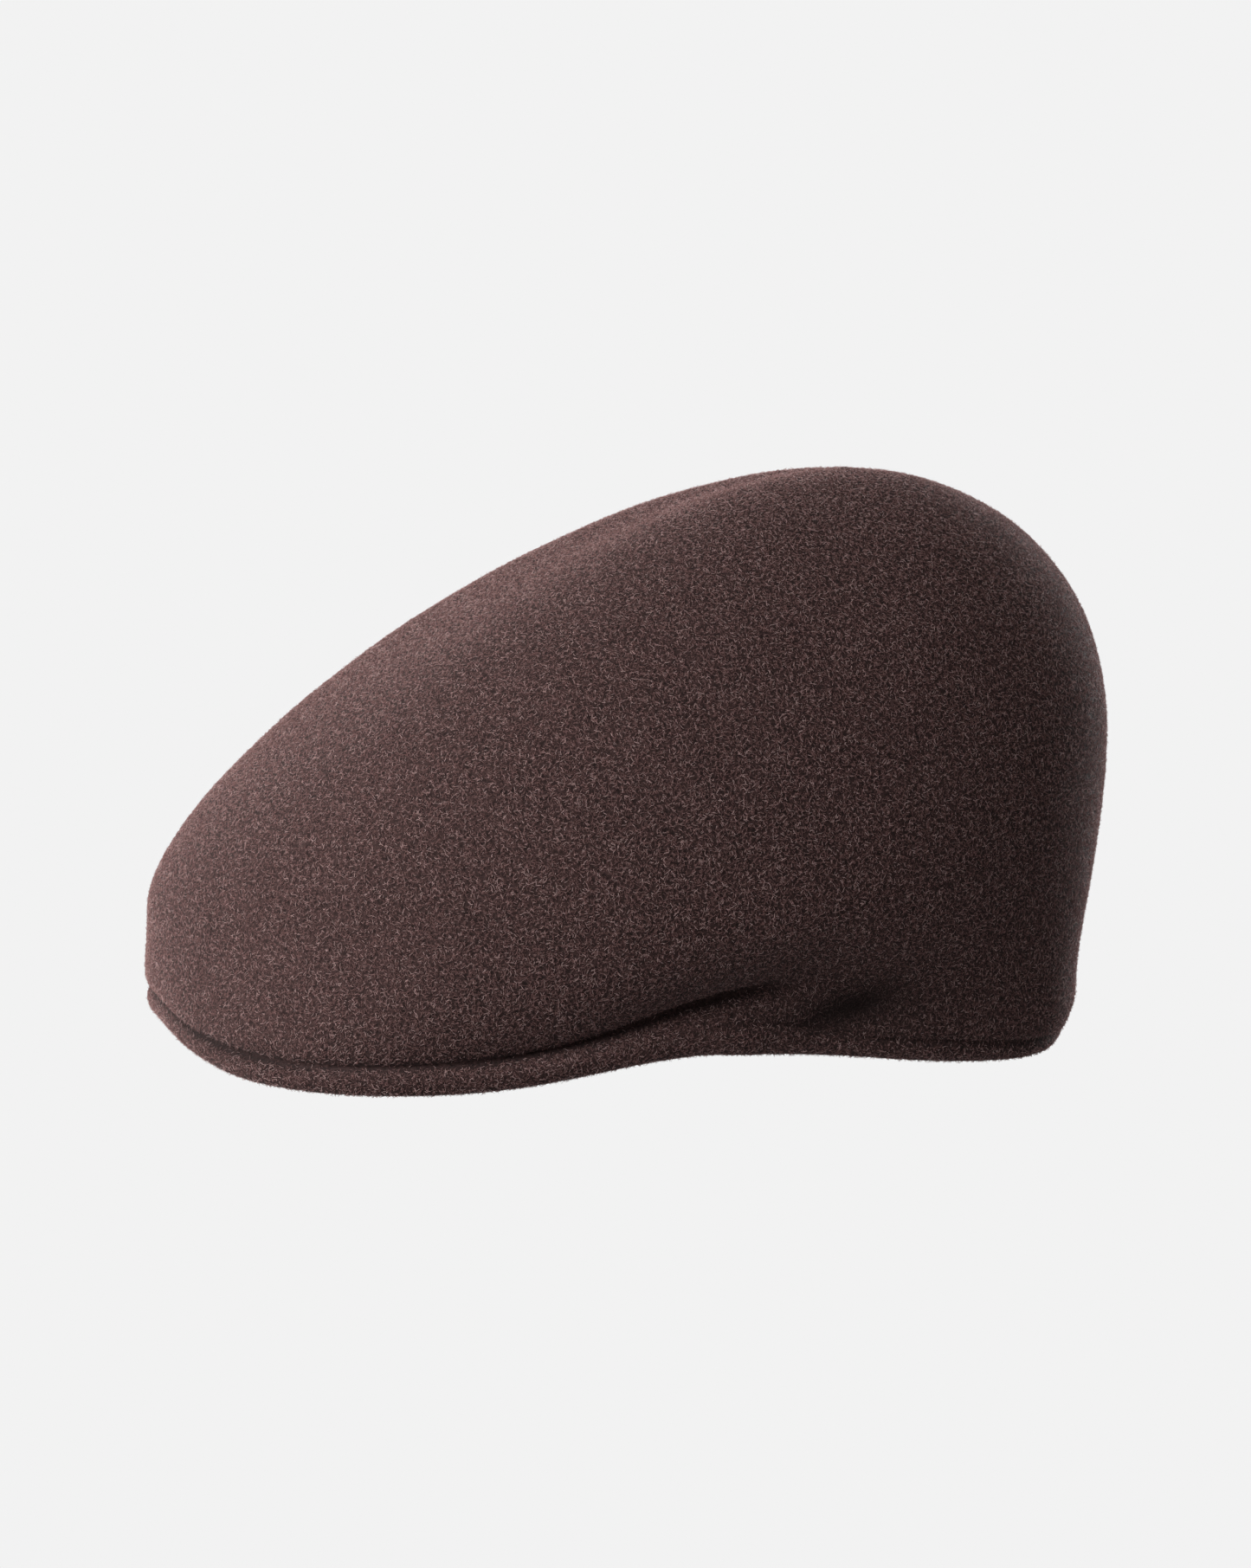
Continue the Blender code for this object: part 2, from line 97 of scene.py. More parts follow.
# The rim, seen from above and from the side. Pairs of roll sizes are for the front and the back
RIM_HALF_WIDTH = CROWN_HALF_WIDTH - 0.0114
RIM_FRONT_Y = PEAK_FRONT_Y + 0.0011
RIM_BACK_Y = CROWN_BACK_Y - 0.0123
RIM_SQUARENESS = 0.073
RIM_EGG = 0.038
PEAK_ARCH = 0.0080
PEAK_ARCH_SPREAD = 34.0
TEMPLE_ARCH = 0.0076
TEMPLE_AT = 93.6
TEMPLE_SPREAD = (15.0, 21.5)
RIM_LAND = 0.0018
ROLL_WIDTH = (0.0040, 0.0069)
ROLL_HEIGHT = (0.0034, 0.0118)
ROLL_GROWS = (60.0, 150.0)
BACK_ROLL_FROM = (110.0, 160.0)
BACK_ROLL_TALLER = (1.0, 1.22)
BACK_ROLL_ROUNDER = (0.40, 0.70)

# The lip of felt under the fold; pairs of sizes are for its very front and its sides
LIP_FRONT = 0.0067
LIP_SIDE = 0.0090
LIP_BACK = 0.0188
LIP_GROWS = (40.0, 90.0)
FOLD_TURNS_SIDEWAYS = (14.0, 46.0)
FOLD_DEPTH = (0.0014, 0.0062)
FOLD_FADES = (93.0, 104.0)
FOLD_RISES = (79.0, 104.0)
FOLD_GAPE = (0.0002, 0.0012)
OVERHANG = (0.0045, 0.0084)
LIP_SLOPE = (0.62, 0.45)
LIP_BROW = 0.42
NAP_ENDS_ON_LIP = (0.62, 0.92)
NAP_STARTS_ON_CROWN = (0.02, 0.15)

# Soft marks in the felt where the fold runs out: angle and height above the rim, then spreads
TUCK_AT = (106.0, 0.0122)
TUCK_SPREAD = (6.5, 0.0048)
TUCK_CLIMB = 0.0009
TUCK_DEPTH = 0.0024
HOLLOW_AT = (109.0, 0.0145)
HOLLOW_SPREAD = (15.0, 0.0110)
HOLLOW_DEPTH = 0.0014
SWELL = 0.00022
RIPPLE = 0.00012

# The line that the sweatband's seam presses into the felt
CREASE_HEIGHT = (0.0080, 0.0048, 0.0040)
CREASE_DROPS = (98.0, 110.0, 118.0, 134.0)
CREASE_SEEN = (91.0, 97.0, 132.0, 156.0)
CREASE_SPREAD = 0.0011
CREASE_EDGES = (0.0003, 0.0018)
CREASE_DEPTH = 0.0020
CREASE_BARE = 0.95
BELOW_CREASE = 0.0009

# Painted shade: how far the felt's colour is darkened in its tuck, its hollow and the front of its
# fold
TUCK_SHADE = 0.62
HOLLOW_SHADE = 0.38
HOLLOW_SHADE_LOST_BELOW_CREASE = 0.5
FOLD_SHADE = 0.75
FOLD_SHADE_SPREAD = 0.0009
FOLD_SHADE_ENDS = (20.0, 62.0)

# The felt's mesh: where its inside starts and ends up the crown, its rows and its columns
INSIDE_TOP = 1.98
INSIDE_FOOT = 0.16
INSIDE_CORNER_RISE = 0.0016
INSIDE_ROWS = 26
CEILING_ROWS = 10
UNDERSIDE_ROWS = 14
ROLL_ROWS = 22
LIP_ROWS = 18
CROWN_ROWS = 40
CROWN_ROWS_CROWD = 1.6
TOP_ROWS = 52
OUTSIDE_STARTS_OVER = 3.0
FELT_COLUMNS = 400

# The peak's root, and the angles over which it turns into the plain rim at the sides
PEAK_ROOT_FAN = (0.64, 0.805)
PEAK_ROOT_FANS = (45.0, 87.0)
PEAK_TURNS_IN = (64.0, 84.0)
PEAK_ROOT_THICKNESS = 0.0054
PEAK_RUNS_OUT = (72.0, 88.0)

# The head opening, and the sweatband and elastic round it; BAND is their thickness
HEAD_MID_Y = 0.014
HEAD_OVAL = (0.086, 0.100)
BAND = 0.0009
BAND_FOOT = 0.0010
BAND_FOOT_AT_PEAK = 0.0030
BAND_HEIGHT = 0.030
BAND_RIB = 0.0011
BAND_RIB_RELIEF = 0.00011
BAND_SEAM = 0.0020
BAND_SEAM_SHARE = 0.067
BAND_SEAM_DRAW = 0.00022
BAND_SLACK = 0.00025
FELT_TO_BAND = 0.0003
FELT_PRESSED = 0.0005
HEM_OUTSET = 0.0005
OPENING_EASE = 0.0012
BAND_CLEARANCE = 0.0004
ELASTIC_HALF_ANGLE = 22.0
ELASTIC_CORDS = 13
ELASTIC_CORD = 0.00016

# The stiffener board, and the labels: LABEL is a label's depth in all, TAPE its cloth
BOARD = 0.0012
BOARD_INSET = 0.0046
BOARD_ENDS = 67.0
BOARD_TO_ROOT = 0.0030
BOARD_COLUMNS = 121
BOARD_ROWS = 14
LABEL = 0.0005
LABEL_GAP = 0.0002
LABEL_SEAM = 0.0012
LABEL_PUFF = 0.00022
TAB_SEAM = 0.0022
TAB_SEAM_INSET = 0.0010
TAPE = 0.00036
TAPE_ROUNDING = 0.0006
TAPE_EDGE = 0.12

# Sewing: a stitch, the space after it, and its thread
STITCH = 0.0027
STITCH_GAP = 0.0007
THREAD_RADIUS = 0.00023
THREAD_PROUD = 0.00012
PLY_TWIST = 0.0009
STITCH_RINGS = 13
STITCH_SIDES = 8
ZIGZAG_CORNERS = 24
ZIGZAG_SWAY = 0.85
ROOT_STITCHING_ENDS = 70.0
ROOT_STITCHING_INSET = 0.0022

# The loose nap, per square metre and in metres
NAP_DENSITY = 3.3e6
NAP_LENGTH = 0.0011
NAP_LEAN = (math.radians(60.0), math.radians(89.0))
NAP_CURL = 0.0006
NAP_SWING = 0.0011
NAP_RADIUS = 0.000064
NAP_DEPTH = 0.0003
NAP_UNDER_PEAK = 0.55
NAP_AT_ROOT = 0.3
NAP_LOST_IN_FOLD = 0.95

# Light and camera
PALE = 0.888
AMBIENT = 0.02
FLOOR_LIGHT = 0.34
FLOOR_GAP = 0.0008
CAMERA_AZIMUTH = 76.2
CAMERA_ELEVATION = 6.96
CAMERA_DISTANCE = 1.2027
AIM_OFF = (0.00105, 0.00875)
LIGHT_DISTANCE = 1.3
WARM = (1.0, 0.985, 0.975)
COOL = (0.95, 0.985, 1.0)
# Each light's name, azimuth, elevation, size, power and tint
LIGHTS = (
    ("key", 40.0, 36.0, 0.8, 9.8, WARM),
    ("front", 10.0, 6.0, 0.8, 25.0, WARM),
    ("right_front", 300.0, 6.0, 0.9, 8.0, WARM),
    ("camera_side", 56.0, 12.0, 0.8, 1.8, WARM),
    ("behind", 222.0, 8.0, 0.9, 38.0, COOL),
)
FLOOR_HALF = 6.0

UP = np.array([0.0, 0.0, 1.0])


def smoothstep(low, high, x):
    t = np.clip((x - low) / (high - low), 0.0, 1.0)
    return t * t * (3.0 - 2.0 * t)


def between(values, share):
    return values[0] + (values[1] - values[0]) * share


def by_quarter(angle, values):
    """A dimension given at the front, sides and back, at each angle round the cap."""
    c = np.cos(np.radians(angle))
    front = np.clip(c, 0.0, 1.0) ** 2
    back = np.clip(-c, 0.0, 1.0) ** 2
    return front * values[0] + (1.0 - front - back) * values[1] + back * values[2]


def egg_plan(angle, half_width, front, back, squareness, egg):
    """A squared-off egg seen from above, by the angle from its front towards the left."""
    a = np.radians(angle)
    across = np.sin(a) + squareness * np.sin(3 * a) + egg * np.sin(2 * a)
    along = np.cos(a) - squareness * np.cos(3 * a)
    x = half_width * across / (1.0 - squareness)
    y = (front + back) / 2 - (back - front) / 2 * along / (1.0 - squareness)
    return np.stack([x, y], -1)


def rim_plan(angle):
    return egg_plan(angle, RIM_HALF_WIDTH, RIM_FRONT_Y, RIM_BACK_Y, RIM_SQUARENESS, RIM_EGG)


def unit(vectors):
    return vectors / np.linalg.norm(vectors, axis=-1, keepdims=True)


def rim_inward(angle):
    """Level unit vector pointing in from the rim."""
    along = rim_plan(angle + 0.01) - rim_plan(angle - 0.01)
    return unit(np.stack([-along[..., 1], along[..., 0]], -1))


def rim_height(angle):
    """Height of the rim's lowest line: arched at the peak and over the ears."""
    a = np.abs(angle)
    spread = np.where(a < TEMPLE_AT, TEMPLE_SPREAD[0], TEMPLE_SPREAD[1])
    peak = PEAK_ARCH * np.exp(-((a / PEAK_ARCH_SPREAD) ** 2))
    return peak + TEMPLE_ARCH * np.exp(-(((a - TEMPLE_AT) / spread) ** 2))


def roll_width(angle):
    return between(ROLL_WIDTH, smoothstep(*ROLL_GROWS, np.abs(angle)))


def roll_height(angle):
    return between(ROLL_HEIGHT, smoothstep(*ROLL_GROWS, np.abs(angle)))


def fold_strength(angle):
    return 1.0 - smoothstep(*FOLD_FADES, np.abs(angle))


def lip_height(angle):
    """Height of the fold above the rim, or of the same line where there is no fold."""
    a = np.abs(angle)
    at_side = between((LIP_FRONT, LIP_SIDE), smoothstep(*LIP_GROWS, a))
    return at_side + (LIP_BACK - LIP_SIDE) * smoothstep(*FOLD_RISES, a)


def to_side(angle, values):
    """A dimension of the fold given at the very front and along the sides."""
    return between(values, smoothstep(*FOLD_TURNS_SIDEWAYS, np.abs(angle)))


def fold_depth(angle):
    return to_side(angle, FOLD_DEPTH) * fold_strength(angle)


def lift(plan, height):
    """Points seen from above, given their heights."""
    return np.concatenate([plan, np.broadcast_to(height, plan.shape[:-1])[..., None]], -1)


def bezier(a, b, c, d, t):
    s = 1.0 - t
    return s**3 * a + 3 * s * s * t * b + 3 * s * t * t * c + t**3 * d


def rim_from_inside(bearing):
    """Rim angle and distance of the rim's inner edge, at a bearing from the middle of the head."""
    round_rim = np.linspace(-180.0, 180.0, 721)
    inset = roll_width(round_rim) + RIM_LAND + BAND_CLEARANCE
    edge = rim_plan(round_rim) + rim_inward(round_rim) * inset[:, None]
    seen_at = np.degrees(np.arctan2(edge[:, 0], HEAD_MID_Y - edge[:, 1]))
    seen_at[0], seen_at[-1] = -180.0, 180.0
    turned = (np.asarray(bearing, dtype=float) + 180.0) % 360.0 - 180.0
    distance = np.hypot(edge[:, 0], edge[:, 1] - HEAD_MID_Y)
    return np.interp(turned, seen_at, round_rim), np.interp(turned, seen_at, distance)


def head_point(bearing, outset, height):
    """A point on the head opening, `outset` outside the sweatband's outer face."""
    wall = rim_from_inside(bearing)[1]
    a = np.radians(bearing)
    oval = 1.0 / np.hypot(np.sin(a) / HEAD_OVAL[0], np.cos(a) / HEAD_OVAL[1])
    ease = OPENING_EASE
    radius = -ease * np.logaddexp(-wall / ease, -oval / ease) + outset
    plan = np.stack([radius * np.sin(a), HEAD_MID_Y - radius * np.cos(a)], -1)
    return lift(plan, height)


def band_foot(bearing):
    """Height of the sweatband's lower edge, which follows the rim and rises at the peak."""
    rim_angle = rim_from_inside(bearing)[0]
    at_peak = 1.0 - smoothstep(0.0, 75.0, np.abs(rim_angle))
    return rim_height(rim_angle) + BAND_FOOT + BAND_FOOT_AT_PEAK * at_peak


def outside_band(grid, gap):
    """The grid, with points beside the sweatband moved out until they are `gap` outside it."""
    x, y, z = np.moveaxis(grid, -1, 0)
    bearing = np.degrees(np.arctan2(x, HEAD_MID_Y - y))
    wall = head_point(bearing, gap, z)
    reach = np.hypot(x, y - HEAD_MID_Y)
    limit = np.hypot(wall[..., 0], wall[..., 1] - HEAD_MID_Y)
    beside = z < band_foot(bearing) + BAND_HEIGHT + 0.001
    grow = np.where(beside & (reach < limit), limit / reach, 1.0)
    return np.stack([x * grow, HEAD_MID_Y + (y - HEAD_MID_Y) * grow, z], -1)


def peak_root(angle):
    """Where the felt's underside ends at the head opening, for each angle along the rim.

    Beside and behind the peak it is level with the rim, where the hem meets the sweatband.
    """
    bearing = angle * between(PEAK_ROOT_FAN, smoothstep(*PEAK_ROOT_FANS, np.abs(angle)))
    at_head = head_point(bearing, HEM_OUTSET, band_foot(bearing) - HEM_OUTSET)
    edge = rim_plan(angle) + rim_inward(angle) * (roll_width(angle) + RIM_LAND)[:, None]
    edge_bearing = np.degrees(np.arctan2(edge[:, 0], HEAD_MID_Y - edge[:, 1]))
    at_side = head_point(edge_bearing, HEM_OUTSET, rim_height(angle))
    beside = smoothstep(*PEAK_RUNS_OUT, np.abs(angle))[:, None]
    return at_head * (1.0 - beside) + at_side * beside


def inward(angle):
    """Level unit vector in from the rim, towards the peak's root where there is a peak."""
    to_root = unit(peak_root(angle)[:, :2] - rim_plan(angle))
    beside = smoothstep(*PEAK_TURNS_IN, np.abs(angle))[:, None]
    return unit(to_root * (1.0 - beside) + rim_inward(angle) * beside)


def at_rim(angle, inset, rise):
    """A point `inset` in from the rim's edge and `rise` above its lowest line."""
    plan = rim_plan(angle) + inward(angle) * np.reshape(inset, (-1, 1))
    return lift(plan, rim_height(angle) + rise)


def crown_point(angle, t):
    """A point on the outside of the crown: t is 0 in the fold, 1 at the bulge and 2 on top."""
    plan = egg_plan(angle, CROWN_HALF_WIDTH, CROWN_FRONT_Y, CROWN_BACK_Y, CROWN_SQUARENESS, 0.0)
    bulge = lift(plan, by_quarter(angle, BULGE_HEIGHT))
    if t <= 1.0:
        fold = at_rim(angle, fold_depth(angle), lip_height(angle))
        rise = (bulge - fold)[:, 2:] * UP
        out = (bulge - fold) * (1.0 - UP)
        hang = HANG_SHARE * fold_strength(angle)[:, None]
        over_lip = -lift(inward(angle), 0.0) * to_side(angle, OVERHANG)[:, None]
        start_rise = CROWN_START_RISE[0] - CROWN_START_RISE[1] * hang
        first = fold + CROWN_START_OUT * out * (1.0 - hang) + over_lip * hang + rise * start_rise
        second = bulge - CROWN_END_DROP * rise
        return bezier(fold, first, second, bulge, t)
    top = np.array([0.0, TOP_Y, TOP_HEIGHT])
    rise = (top - bulge)[:, 2:] * UP
    first = bulge + rise * by_quarter(angle, UPRIGHT)[:, None]
    second = top + (bulge - top) * (1.0 - UP) * by_quarter(angle, FLAT_TOP)[:, None]
    return bezier(bulge, first, second, top, t - 1.0)


def crown_inside(angle, t):
    """The point under crown_point, one felt thickness in."""
    step = 0.01
    along = crown_point(angle + step, t) - crown_point(angle - step, t)
    up = crown_point(angle, t + step) - crown_point(angle, t - step)
    return crown_point(angle, t) - FELT * unit(np.cross(along, up))


def felt_rows(angle):
    """The felt's section at each angle, from the inside of its top round to the outside.

    Returns the rows of points, and how much nap each point carries: little in the fold.
    """
    width, tall = roll_width(angle), roll_height(angle)
    lip, depth = lip_height(angle), fold_depth(angle)
    strength = fold_strength(angle)
    root = peak_root(angle)
    beside = smoothstep(*PEAK_RUNS_OUT, np.abs(angle))
    thick = PEAK_ROOT_THICKNESS + (FELT - PEAK_ROOT_THICKNESS) * beside
    rows, nap = [], []

    def add(row, amount):
        rows.append(row)
        nap.append(amount + 0.0 * angle)

    for t in np.linspace(INSIDE_TOP, INSIDE_FOOT, INSIDE_ROWS, endpoint=False):
        add(crown_inside(angle, t), 0.0)
    corner = at_rim(angle, depth + FELT, lip + INSIDE_CORNER_RISE)
    ceiling = root + UP * thick[:, None]
    for t in np.linspace(0.0, 1.0, CEILING_ROWS):
        add(corner + (ceiling - corner) * t, 0.0)
    for t in (0.35, 0.70):
        add(root + UP * (thick * (1.0 - t))[:, None], NAP_AT_ROOT)
    hem = at_rim(angle, width, 0.0)
    for t in np.linspace(0.0, 1.0, UNDERSIDE_ROWS, endpoint=False):
        add(root + (hem - root) * t, NAP_UNDER_PEAK)

    behind = smoothstep(*BACK_ROLL_FROM, np.abs(angle))
    tall = tall * between(BACK_ROLL_TALLER, behind)
    ease = between(BACK_ROLL_ROUNDER, behind)
    zero = 0.0 * width
    brow = lip - to_side(angle, FOLD_GAPE) * strength
    roll = [(width, zero), (width * ease, zero), (zero, tall * ease), (zero, tall)]
    slope = tall + (brow - tall) * between(LIP_SLOPE, strength)
    cheek = [(zero, tall), (zero, slope), (depth * LIP_BROW, brow), (depth, lip)]
    lost = NAP_LOST_IN_FOLD * strength
    for t in np.linspace(0.0, 1.0, ROLL_ROWS, endpoint=False):
        add(at_rim(angle, *bezier(*np.array(roll), t)), 1.0)
    for t in np.linspace(0.0, 1.0, LIP_ROWS, endpoint=False):
        bare = smoothstep(*NAP_ENDS_ON_LIP, t)
        add(at_rim(angle, *bezier(*np.array(cheek), t)), 1.0 - lost * bare)
    for t in np.linspace(0.0, 1.0, CROWN_ROWS, endpoint=False) ** CROWN_ROWS_CROWD:
        bare = 1.0 - smoothstep(*NAP_STARTS_ON_CROWN, t)
        add(crown_point(angle, t), 1.0 - lost * bare)
    for t in np.linspace(1.0, 2.0, TOP_ROWS):
        add(crown_point(angle, t), 1.0)
    return np.array(rows), np.array(nap)


def grid_normals(grid):
    """Outward normals of a grid of rows that close on themselves."""
    along = np.roll(grid, -1, axis=1) - np.roll(grid, 1, axis=1)
    onward = np.gradient(grid, axis=0)
    normal = np.cross(along, onward)
    return normal / np.maximum(np.linalg.norm(normal, axis=-1, keepdims=True), 1e-12)


def pressed_crease(above_rim, a):
    """The line the sweatband's seam presses into the felt, and the fuller band below it."""
    first, last = smoothstep(*CREASE_DROPS[:2], a), smoothstep(*CREASE_DROPS[2:], a)
    height = between(CREASE_HEIGHT[:2], first) + (CREASE_HEIGHT[2] - CREASE_HEIGHT[1]) * last
    seen = smoothstep(*CREASE_SEEN[:2], a) * (1.0 - smoothstep(*CREASE_SEEN[2:], a))
    below = 1.0 - smoothstep(height - CREASE_EDGES[0], height + CREASE_EDGES[1], above_rim)
    return np.exp(-(((above_rim - height) / CREASE_SPREAD) ** 2)) * seen, below * seen


def soft_mark(a, above_rim, at, spread):
    """A rounded mark that fades out from its middle."""
    return np.exp(-(((above_rim - at[1]) / spread[1]) ** 2) - ((a - at[0]) / spread[0]) ** 2)


def felt_relief(grid, angle):
    """How far the felt stands out from its moulded shape, how bare it is, and how much shade is
    painted on it.
    """
    x, y, z = np.moveaxis(grid, -1, 0)
    relief = SWELL * np.sin(61 * x + 43 * z + 1.3) * np.sin(47 * y - 38 * z + 0.4)
    relief += RIPPLE * np.sin(131 * y + 57 * x + 2.1) * np.sin(119 * z - 83 * x + 0.9)
    a = np.abs(angle)[None, :]
    above_rim = z - rim_height(angle)[None, :]
    tuck = soft_mark(a, above_rim - TUCK_CLIMB * (a - TUCK_AT[0]), TUCK_AT, TUCK_SPREAD)
    hollow = soft_mark(a, above_rim, HOLLOW_AT, HOLLOW_SPREAD)
    crease, below = pressed_crease(above_rim, a)
    relief += BELOW_CREASE * below - CREASE_DEPTH * crease
    relief -= TUCK_DEPTH * tuck + HOLLOW_DEPTH * hollow

    # Painted shade: a dark line along the front of the fold, and darkening in the tuck and the
    # hollow
    from_fold = (above_rim - lip_height(a)) / FOLD_SHADE_SPREAD
    shade = FOLD_SHADE * np.exp(-(from_fold**2)) * (1.0 - smoothstep(*FOLD_SHADE_ENDS, a))
    shade += HOLLOW_SHADE * hollow * (1.0 - HOLLOW_SHADE_LOST_BELOW_CREASE * below)
    return relief, CREASE_BARE * crease, shade + TUCK_SHADE * tuck


def link(name, points, faces, materials):
    """A smooth mesh object in the scene, from points and faces."""
    mesh = bpy.data.meshes.new(name)
    mesh.from_pydata([tuple(map(float, p)) for p in points], [], faces)
    for material in materials:
        mesh.materials.append(material)
    mesh.polygons.foreach_set("use_smooth", [True] * len(mesh.polygons))
    mesh.update()
    obj = bpy.data.objects.new(name, mesh)
    bpy.context.scene.collection.objects.link(obj)
    return obj


def grid_faces(rows, columns, first=0, loop=False):
    """Quads over a grid of points numbered row by row."""
    faces = []
    for r in range(rows - 1):
        for c in range(columns if loop else columns - 1):
            n = (c + 1) % columns
            low, high = first + r * columns, first + (r + 1) * columns
            faces.append((low + c, low + n, high + n, high + c))
    return faces


def sheet(name, outer, inner, materials):
    """A closed body between two grids of points, the outer one facing out."""
    outer, inner = np.asarray(outer), np.asarray(inner)
    rows, columns = outer.shape[:2]
    points = np.concatenate([outer.reshape(-1, 3), inner.reshape(-1, 3)])
    half = rows * columns
    faces = grid_faces(rows, columns)
    faces += [face[::-1] for face in grid_faces(rows, columns, half)]
    last = half - columns
    for c in range(columns - 1):
        n = c + 1
        faces.append((half + c, half + n, n, c))
        faces.append((last + c, last + n, half + last + n, half + last + c))
    for r in range(rows - 1):
        low, high = r * columns, (r + 1) * columns
        faces.append((low, high, half + high, half + low))
        low, high = low + columns - 1, high + columns - 1
        faces.append((half + low, half + high, high, low))
    return link(name, points, faces, materials)


def set_weave_uv(obj, along, across):
    """Lengths along and across a ribbon, in metres, for its weave."""
    layer = obj.data.uv_layers.new(name="weave")
    corner = np.zeros(len(obj.data.loops), dtype=int)
    obj.data.loops.foreach_get("vertex_index", corner)
    uv = np.stack([along[corner], across[corner]], -1)
    layer.data.foreach_set("uv", uv.astype(np.float32).ravel())


# ---------------------------------------------------------------- materials


class Nodes:
    """Short calls for building one material's or node group's tree."""

    def __init__(self, tree):
        self.tree = tree

    def add(self, kind, inputs=None, **settings):
        node = self.tree.nodes.new(kind)
        for key, value in settings.items():
            setattr(node, key, value)
        for key, value in (inputs or {}).items():
            self.put(node, key, value)
        return node

    def put(self, node, key, value):
        socket = node.inputs[key]
        if isinstance(value, bpy.types.NodeSocket):
            self.tree.links.new(value, socket)
        else:
            socket.default_value = value

    def maths(self, operation, *values):
        node = self.add("ShaderNodeMath", operation=operation)
        for k, value in enumerate(values):
            self.put(node, k, value)
        return node.outputs[0]

    def remap(self, value, low, high, to_low=0.0, to_high=1.0):
        inputs = {"Value": value, 1: low, 2: high, 3: to_low, 4: to_high}
        return self.add("ShaderNodeMapRange", inputs).outputs[0]

    def noise(self, vector, size, detail=2.0, roughness=0.5):
        """Noise whose blotches are about `size` metres across."""
        inputs = {"Vector": vector, "Scale": 1.0 / size, "Detail": detail, "Roughness": roughness}
        return self.add("ShaderNodeTexNoise", inputs).outputs["Fac"]

    def blend(self, share, first, second):
        node = self.add("ShaderNodeMix", data_type="RGBA")
        for key, value in ((0, share), (6, first), (7, second)):
            self.put(node, key, value)
        return node.outputs[2]


def colour(r, g, b):
    return (r, g, b, 1.0)


def new_material(name):
    """A material with a fresh tree, its Principled shader and its object coordinates."""
    material = bpy.data.materials.new(name)
    material.use_nodes = True
    n = Nodes(material.node_tree)
    shader = material.node_tree.nodes["Principled BSDF"]
    place = n.add("ShaderNodeTexCoord").outputs["Object"]
    return material, n, shader, place


def add_bump(n, shader, height, distance, strength=1.0):
    inputs = {"Height": height, "Distance": distance, "Strength": strength}
    n.put(shader, "Normal", n.add("ShaderNodeBump", inputs).outputs[0])


def painted_shade_share(n):
    """How much shade is painted on the felt, from the mesh: most in the tuck behind the fold."""
    return n.add("ShaderNodeAttribute", attribute_name="shade").outputs["Fac"]


def felt_material():
    """The matted ground of the felt, under its loose nap."""
    material, n, shader, place = new_material("wool_felt")
    speck = n.noise(place, 0.0009, 3.0, 0.62)
    mottle = n.noise(place, 0.011, 3.0, 0.55)
    dark, light = colour(0.010, 0.0050, 0.0047), colour(0.066, 0.035, 0.033)
    ground = n.blend(n.remap(speck, 0.34, 0.68), dark, light)
    mottled = n.blend(n.remap(mottle, 0.3, 0.7, 0.0, 0.30), ground, dark)
    # Painted shade: the base colour is darkened where the mesh's shade attribute is high
    n.put(shader, "Base Color", n.blend(painted_shade_share(n), mottled, dark))
    n.put(shader, "Roughness", n.remap(speck, 0.3, 0.7, 0.98, 0.86))
    shader.inputs["Specular IOR Level"].default_value = 0.18
    shader.inputs["Sheen Weight"].default_value = 0.06
    shader.inputs["Sheen Roughness"].default_value = 0.55
    shader.inputs["Sheen Tint"].default_value = colour(0.82, 0.70, 0.69)
    add_bump(n, shader, speck, 0.0006)
    return material


def fibre_material():
    """Loose wool fibres: darker at their roots, with a few pale ones."""
    material, n, shader, _ = new_material("wool_fibre")
    hair = n.add("ShaderNodeHairInfo")
    root, tip = colour(0.060, 0.030, 0.029), colour(0.350, 0.196, 0.186)
    body = n.blend(n.remap(hair.outputs["Intercept"], 0.0, 0.9), root, tip)
    pale = n.remap(hair.outputs["Random"], 0.70, 1.0, 0.0, 0.85)
    wool = n.blend(pale, body, colour(0.72, 0.52, 0.50))
    # Painted shade: the fibres are darkened where the felt's shade attribute is high
    wool = n.blend(painted_shade_share(n), wool, colour(0.018, 0.010, 0.009))
    n.put(shader, "Base Color", wool)
    shader.inputs["Roughness"].default_value = 0.75
    shader.inputs["Specular IOR Level"].default_value = 0.25
    through = n.add("ShaderNodeBsdfTranslucent", {"Color": wool})
    mixed = n.add("ShaderNodeMixShader", {0: 0.28, 1: shader.outputs[0], 2: through.outputs[0]})
    n.put(material.node_tree.nodes["Material Output"], "Surface", mixed.outputs[0])
    return material


def ribbed_material(name, dark, light, pitch, relief):
    """Ribbed ribbon or elastic: fine cross threads over the ribs of its mesh."""
    material, n, shader, place = new_material(name)
    uv = n.add("ShaderNodeUVMap", uv_map="weave").outputs[0]
    axes = n.add("ShaderNodeSeparateXYZ", {"Vector": uv}).outputs
    turns = n.maths("MULTIPLY", axes["Y"], 2.0 * math.pi / pitch)
    thread = n.remap(n.maths("SINE", turns), -1.0, 1.0)
    wear = n.noise(place, 0.006, 3.0)
    shade = n.maths("MULTIPLY", thread, n.remap(wear, 0.3, 0.7, 0.55, 1.0))
    n.put(shader, "Base Color", n.blend(shade, dark, light))
    n.put(shader, "Roughness", n.remap(wear, 0.3, 0.7, 0.72, 0.88))
    shader.inputs["Sheen Weight"].default_value = 0.15
    add_bump(n, shader, thread, relief, 0.8)
    return material


